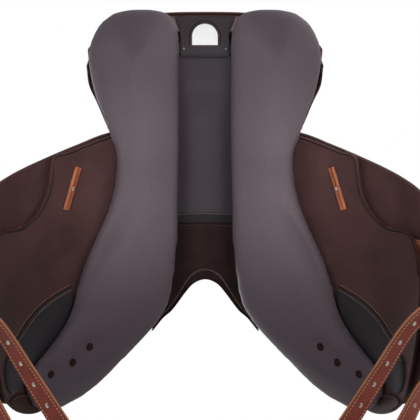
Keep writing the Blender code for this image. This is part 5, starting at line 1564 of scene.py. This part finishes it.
def rim_frame(t):
    """Place in plan, outward direction in plan and seat height at t along the seat's rim."""
    place, ahead, behind = [Vector(seat_plan(*rim_point(at))) for at in (t, t + 0.01, t - 0.01)]
    along = (ahead - behind).normalized()
    out = Vector((along.y, -along.x))
    if out.dot(place - Vector((0, SEAT_Y[1] / 2))) < 0:
        out = -out
    return place, out, seat_height(*rim_point(t))


def rim_place(t, outward, share):
    """Point beside the rim: share runs from the foot on the panels up to the rim."""
    place, out, height = rim_frame(t)
    x, y = place + out * outward
    foot = top_height(x, y, FACING_FOOT_GAP)
    return Vector((x, y, mix(foot, height - FACING_TOP_DROP, share)))


def cantle_place(t, share):
    """Point on the outer face of the left cantle facing, with its down and outward ways."""
    point = rim_place(t, -FACING_INSET, share)
    down = (rim_place(t, -FACING_INSET, share - 0.05) - point).normalized()
    sideways = rim_place(t + 0.01, 0.0, share) - rim_place(t - 0.01, 0.0, share)
    out = down.cross(sideways).normalized()
    if out.dot(point) < 0:
        out = -out
    return point, (down - out * down.dot(out)).normalized(), out


class SADDLE_OT_seat(bpy.types.Operator):
    """Pull the seat leather over its foam and sew its seams"""

    bl_idname = "saddle.seat"
    bl_label = "Make Seat"

    def seam(self, q):
        """Place p of the left welted seam at q."""
        return 0.44 + 0.2 * ease(0.05, 0.75, q) - 0.16 * ease(0.75, 1.0, q)

    def cover(self, u, v, depth):
        """Point on the seat cover, which dips at its seams."""
        p, q = 2 * u - 1, v
        fold = max(1 - abs(abs(p) - self.seam(q)) / 0.06, 0.0)
        dip = 0.0012 * fold * fold * ease(0.03, 0.12, q) * (1 - ease(0.9, 0.97, q))
        return seat_point(p, q, depth + dip)

    def execute(self, context):
        seat = finish_piece("seat_leather_cover",
                            sheet_mesh(self.cover, 0.0, SEAT_LEATHER, 90, 96),
                            "seat_leather seat_leather", "seat_cover", True, 0.0012)
        foam = refined_node("seat_foam_cushion", "seat_foam", "foam", subdivisions=1, sharp=40)
        welts, lines = bmesh.new(), []
        for _name, side in SIDES:
            path = [seat_point(side * self.seam(q), q, 0.0006) for q in steps(0.03, 0.97, 120)]
            pour(tube_mesh(path, 0.0013), welts)
            for way in (-1, 1):
                line = []
                for q in steps(0.04, 0.96, 120):
                    p = side * self.seam(q) + way * 0.0036 / smooth(SEAT_HALF_WIDTHS, q)
                    line.append((seat_point(p, q, 0.0004), seat_normal(p, q)))
                lines.append(line)
        finish_piece("seat_seam_welts", welts, "seat_leather", "seat_cover")
        stitch_piece("seat_stitching", lines, "brown_thread", "seat_cover")
        return {"FINISHED"}


class SADDLE_OT_seat_edges(bpy.types.Operator):
    """Close the cantle and the pommel, and pipe the rim"""

    bl_idname = "saddle.seat_edges"
    bl_label = "Make Seat Edges"

    def execute(self, context):
        def facing(u, v, outward):
            return rim_place(mix(*FACING_SPAN, u), outward, v)

        def pommel(u, v, outward):
            p = mix(-0.97, 0.97, u)
            x, y = seat_plan(p, 0.0)
            foot = top_height(x, y, LINING_LIFTS[1] + 0.0006)
            top = seat_height(p, 0.0) - SEAT_LEATHER - 0.0006
            return Vector((x, y - outward, mix(foot, top, v)))

        bm = sheet_mesh(facing, -FACING_INSET, -FACING_INSET - FACING_LEATHER, 140, 10)
        finish_piece("cantle_leather", bm, "cantle_leather brown_edge", "cantle_facing", True,
                     0.0007)
        finish_piece("pommel_leather", sheet_mesh(pommel, FACING_LEATHER, 0.0, 60, 8),
                     "seat_leather brown_edge", "pommel_facing", True, 0.0007)
        piping = [rim_place(t, PIPING_RADIUS + 0.0003 - FACING_INSET, 1.0)
                  + Vector((0, 0, PIPING_RISE)) for t in steps(*FACING_SPAN, 180)]
        finish_piece("seat_rim_piping", tube_mesh(piping, PIPING_RADIUS), "cantle_leather",
                     "seat_piping", True)
        line = [(rim_place(t, SKIN - FACING_INSET, 0.86), rim_frame(t)[1].to_3d().normalized())
                for t in steps(FACING_SPAN[0] + 0.01, FACING_SPAN[1] - 0.01, 140)]
        stitch_piece("cantle_stitching", [line], "brown_thread", "cantle_facing")
        return {"FINISHED"}


# Skirts
def skirt_point(u, v, extra=0.0):
    """Point on the left skirt, with its lower corners rounded."""
    v = crowded(v)
    y = mix(*outline_row(SKIRT_OUTLINE, v), crowded(u))
    (front_x, front_y), (rear_x, rear_y) = SKIRT_TOP
    x = mix(front_x, rear_x, (y - front_y) / (rear_y - front_y))
    top_s = BACK_RADIUS * (math.asin(x / (BACK_RADIUS + SKIRT_LIFTS[0][1])) - SHOULDER_ANGLE)
    return carrier(mix(top_s, SKIRT_END_S, v), y, smooth(SKIRT_LIFTS, v) + extra)


def skirt_normal(u, v):
    """Outward direction of the left skirt."""
    step = 0.01
    across = skirt_point(min(u + step, 1), v) - skirt_point(max(u - step, 0), v)
    along = skirt_point(u, min(v + step, 1)) - skirt_point(u, max(v - step, 0))
    normal = along.cross(across).normalized()
    return normal if normal.z + normal.x > 0 else -normal


class SADDLE_OT_skirts(bpy.types.Operator):
    """Cut the skirts and sew their edges"""

    bl_idname = "saddle.skirts"
    bl_label = "Make Skirts"

    def execute(self, context):
        path = [(0.035, v) for v in steps(0.05, 0.955, 60)]
        path += [(u, 0.955) for u in steps(0.035, 0.965, 50)[1:-1]]
        path += [(0.965, v) for v in steps(0.955, 0.05, 60)]
        line = [(skirt_point(u, v, SKIRT_LEATHER + SKIN), skirt_normal(u, v)) for u, v in path]
        for name, side in SIDES:
            node = "skirt_" + name
            finish_piece("skirt_leather_" + name,
                         sheet_mesh(skirt_point, SKIRT_LEATHER, 0.0, 50, 50, side),
                         "seat_leather brown_edge", node, True, 0.0010)
            stitch_piece("skirt_stitching_" + name, [line], "brown_thread", node, side)
        return {"FINISHED"}


# Metal and small parts
class SADDLE_OT_fittings(bpy.types.Operator):
    """Make the stirrup bars, catches, dees, chapes and saddle nails"""

    bl_idname = "saddle.fittings"
    bl_label = "Make Fittings"

    def dee(self, place, name, side):
        """Dee ring in its chape, at the front or the rear."""
        if place == "front":
            s, y = FRONT_DEE_PLACE
            seat, out = carrier(s, y, FLAP_LIFTS[1]), carrier_normal(s)
            down = Vector((out.z, 0, -out.x))
        else:
            seat, down, out = cantle_place(REAR_DEE_T, REAR_DEE_SHARE)
        seat, down, out = (mirrored(item, side) for item in (seat, down, out))
        along = down.cross(out)
        hinge = seat + out * DEE_HINGE_LIFT
        line = [hinge + along * DEE_WIDTH * share for share in (-0.5, -0.25, 0.0, 0.25, 0.5)]
        for turn in steps(0.0, math.pi, DEE_ARC_STEPS)[1:-1]:
            across = DEE_WIDTH / 2 * math.copysign(abs(math.cos(turn)) ** 0.75, math.cos(turn))
            line.append(hinge + along * across + down * DEE_DROP * math.sin(turn) ** 0.75)
        finish_piece(f"{place}_ring_{name}", tube_mesh(line, DEE_WIRE_RADIUS, closed=True),
                     "nickel", f"{place}_dee_{name}", True)
        chape = f"{place}_chape_{name}"
        refined_node(f"{place}_tab_{name}", chape, "seat_leather", 0.0004)
        lines = []
        for way in (-1, 1):
            start = seat - down * 0.0122 + along * way * 0.0038 + out * 0.0031
            end = seat - down * 0.0062 + along * way * 0.0038 + out * 0.0046
            lines.append([(point, out) for point in steps(start, end, 6)])
        stitch_piece(f"{place}_tab_stitching_{name}", lines, "brown_thread", chape, 1,
                     *TAB_STITCH)

    def nail(self, name, side):
        """Domed head of a saddle nail on the flap top."""
        node = "saddle_nail_" + name
        low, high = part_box(node)
        centre = (low + high) / 2
        s = carrier_place(mirrored(centre, side))[0]
        head = bmesh.new()
        domed_stud(head, mirrored(carrier(s, centre.y, FLAP_LIFTS[1] + 0.0002), side),
                   mirrored(carrier_normal(s), side), NAIL_RADIUS, NAIL_HEIGHT, 28)
        finish_piece("saddle_nail_head_" + name, head, "nickel", node, True)

    def execute(self, context):
        for name, side in SIDES:
            refined_node("bar_forging_" + name, "stirrup_bar_" + name, "forged_steel", 0.0005)
            refined_node("catch_tongue_" + name, "bar_catch_" + name, "nickel", 0.0004)
            self.dee("front", name, side)
            self.dee("rear", name, side)
            self.nail(name, side)
        return {"FINISHED"}


class SADDLE_OT_tree(bpy.types.Operator):
    """Finish the tree, its steel plates and its webbing, which lie inside"""

    bl_idname = "saddle.tree"
    bl_label = "Finish Tree"

    def execute(self, context):
        for node in ("tree_frame", "gullet_plate", "head_plate", "cantle_plate", "point_left",
                     "point_right"):
            finish = "laminate" if node == "tree_frame" else "forged_steel"
            for slot in frame["nodes"][node].material_slots:
                slot.material = bpy.data.materials[finish]
        for node in ("seat_webbing_cross", "seat_webbing_left", "seat_webbing_right",
                     "billet_webbing_left", "billet_webbing_right"):
            refined_node(node + "_strip", node, "webbing", 0.0002)
        return {"FINISHED"}


# Stage
def build_floor(height):
    """Pale floor that fades out far off and lets light and views through from below."""
    bm = bmesh.new()
    bmesh.ops.create_grid(bm, x_segments=1, y_segments=1, size=6.0)
    bmesh.ops.translate(bm, verts=bm.verts, vec=(0, 0, height))
    floor = mesh_object("studio_floor", bm)
    pale = bpy.data.materials.new("studio_pale")
    pale.use_nodes = True
    tree = pale.node_tree
    shader = tree.nodes["Principled BSDF"]
    fill(tree, shader, {"Base Color": (0.82, 0.82, 0.82, 1.0), "Roughness": 0.9,
                        "Specular IOR Level": 0.1})
    place = tree.nodes.new("ShaderNodeTexCoord").outputs["Object"]
    away = add_node(tree, "VectorMath", {0: place}, operation="LENGTH").outputs["Value"]
    rays = tree.nodes.new("ShaderNodeLightPath").outputs
    far = add_math(tree, "MULTIPLY", rays["Is Camera Ray"], add_range(tree, away, 0.7, 1.9))
    below = tree.nodes.new("ShaderNodeNewGeometry").outputs["Backfacing"]
    clear = tree.nodes.new("ShaderNodeBsdfTransparent").outputs[0]
    share = add_math(tree, "MAXIMUM", below, rays["Is Shadow Ray"])
    share = add_math(tree, "MAXIMUM", share, far)
    both = add_node(tree, "MixShader", {0: share, 1: shader.outputs[0], 2: clear})
    fill(tree, tree.nodes["Material Output"], {"Surface": both.outputs[0]})
    floor.data.materials.append(pale)


def build_world(strength):
    """Even pale surround: white to the camera and in reflections, softer as light."""
    world = bpy.data.worlds.new("studio")
    bpy.context.scene.world = world
    world.use_nodes = True
    tree = world.node_tree
    rays = tree.nodes.new("ShaderNodeLightPath").outputs
    seen = add_math(tree, "MAXIMUM", rays["Is Camera Ray"], rays["Is Transmission Ray"])
    seen = add_math(tree, "MAXIMUM", seen, rays["Is Glossy Ray"])
    fill(tree, tree.nodes["Background"], {
        "Color": (1.0, 1.0, 1.0, 1.0), "Strength": add_range(tree, seen, 0.0, 1.0, strength)})


def add_lamp(name, place, aim, size, power, spread=180):
    """Round lamp at a place, turned to what it lights."""
    data = configure(bpy.data.lights.new(name, "AREA"), shape="DISK", size=size, energy=power,
                     spread=math.radians(spread))
    turn = (Vector(aim) - Vector(place)).to_track_quat("-Z", "Y").to_euler()
    lamp = configure(bpy.data.objects.new(name, data), location=place, rotation_euler=turn)
    bpy.context.scene.collection.objects.link(lamp)


class SADDLE_OT_stage(bpy.types.Operator):
    """Set up the floor, the surround, the lamps and the camera"""

    bl_idname = "saddle.stage"
    bl_label = "Make Stage"

    def execute(self, context):
        scene = context.scene
        studio = scene.saddle_stage
        scene.view_settings.view_transform = "Standard"
        build_floor(studio.floor_height)
        build_world(studio.surround)
        for name, side in SIDES:
            add_lamp("key_" + name, (0.24 * side, 0.44, -0.66), (0.135 * side, 0.075, -0.05),
                     0.24, studio.key_power, 34)
        add_lamp("key_rear", (0, 0.55, -0.66), (0, 0.215, -0.01), 0.10,
                 studio.key_power * 0.1, 16)
        for name, place, size, share in (
                ("top_front", (1.3, -1.5, 2.0), 1.6, 1.0),
                ("top_rear", (-1.5, 1.5, 1.7), 1.8, 0.75),
                ("side_left", (1.5, 1.3, -0.60), 1.0, 0.21),
                ("side_right", (-1.5, 1.3, -0.60), 1.0, 0.21)):
            add_lamp(name, place, (0, 0, -0.05), size, studio.top_power * share)
        data = configure(bpy.data.cameras.new("photo_camera"), sensor_width=36.0, lens=LENS,
                         clip_end=50.0)
        camera = bpy.data.objects.new("photo_camera", data)
        view = Vector((0.0, -math.sin(PHOTO_TILT), math.cos(PHOTO_TILT)))
        up = Vector((0.0, math.cos(PHOTO_TILT), math.sin(PHOTO_TILT)))
        turn = Matrix((view.cross(up), up, -view)).transposed().to_4x4()
        place = Vector(PHOTO_CENTRE) - view * studio.camera_distance
        camera.matrix_world = Matrix.Translation(place) @ turn
        scene.collection.objects.link(camera)
        scene.camera = camera
        return {"FINISHED"}


# Add-on
STEPS = ("materials", "panels", "sweat_flaps", "flaps", "pads", "channel", "gusset", "billets",
         "keepers", "seat", "seat_edges", "skirts", "fittings", "tree", "stage")


class SADDLE_PT_steps(bpy.types.Panel):
    """Lists the steps that dress the saddle."""

    bl_label = "Jumping Saddle"
    bl_idname = "SADDLE_PT_steps"
    bl_space_type = "VIEW_3D"
    bl_region_type = "UI"
    bl_category = "Saddle"

    def draw(self, context):
        for step in STEPS:
            self.layout.operator("saddle." + step)
        for group in SETTINGS:
            settings = getattr(context.scene, group)
            for label in settings.__annotations__:
                self.layout.prop(settings, label)


SETTINGS = {"saddle_leather": SaddleLeatherSettings, "saddle_sewing": SaddleSewingSettings,
            "saddle_stage": SaddleStageSettings}
CLASSES = (
    *SETTINGS.values(), SADDLE_OT_materials, SADDLE_OT_panels, SADDLE_OT_sweat_flaps,
    SADDLE_OT_flaps, SADDLE_OT_pads, SADDLE_OT_channel, SADDLE_OT_gusset, SADDLE_OT_billets,
    SADDLE_OT_keepers, SADDLE_OT_seat, SADDLE_OT_seat_edges, SADDLE_OT_skirts,
    SADDLE_OT_fittings, SADDLE_OT_tree, SADDLE_OT_stage, SADDLE_PT_steps)


def register():
    for item in CLASSES:
        bpy.utils.register_class(item)
    for name, group in SETTINGS.items():
        setattr(bpy.types.Scene, name, bpy.props.PointerProperty(type=group))


def unregister():
    for name in SETTINGS:
        delattr(bpy.types.Scene, name)
    for item in reversed(CLASSES):
        bpy.utils.unregister_class(item)


def main():
    register()
    for step in STEPS:
        getattr(bpy.ops.saddle, step)()


if __name__ == "__main__":
    main()
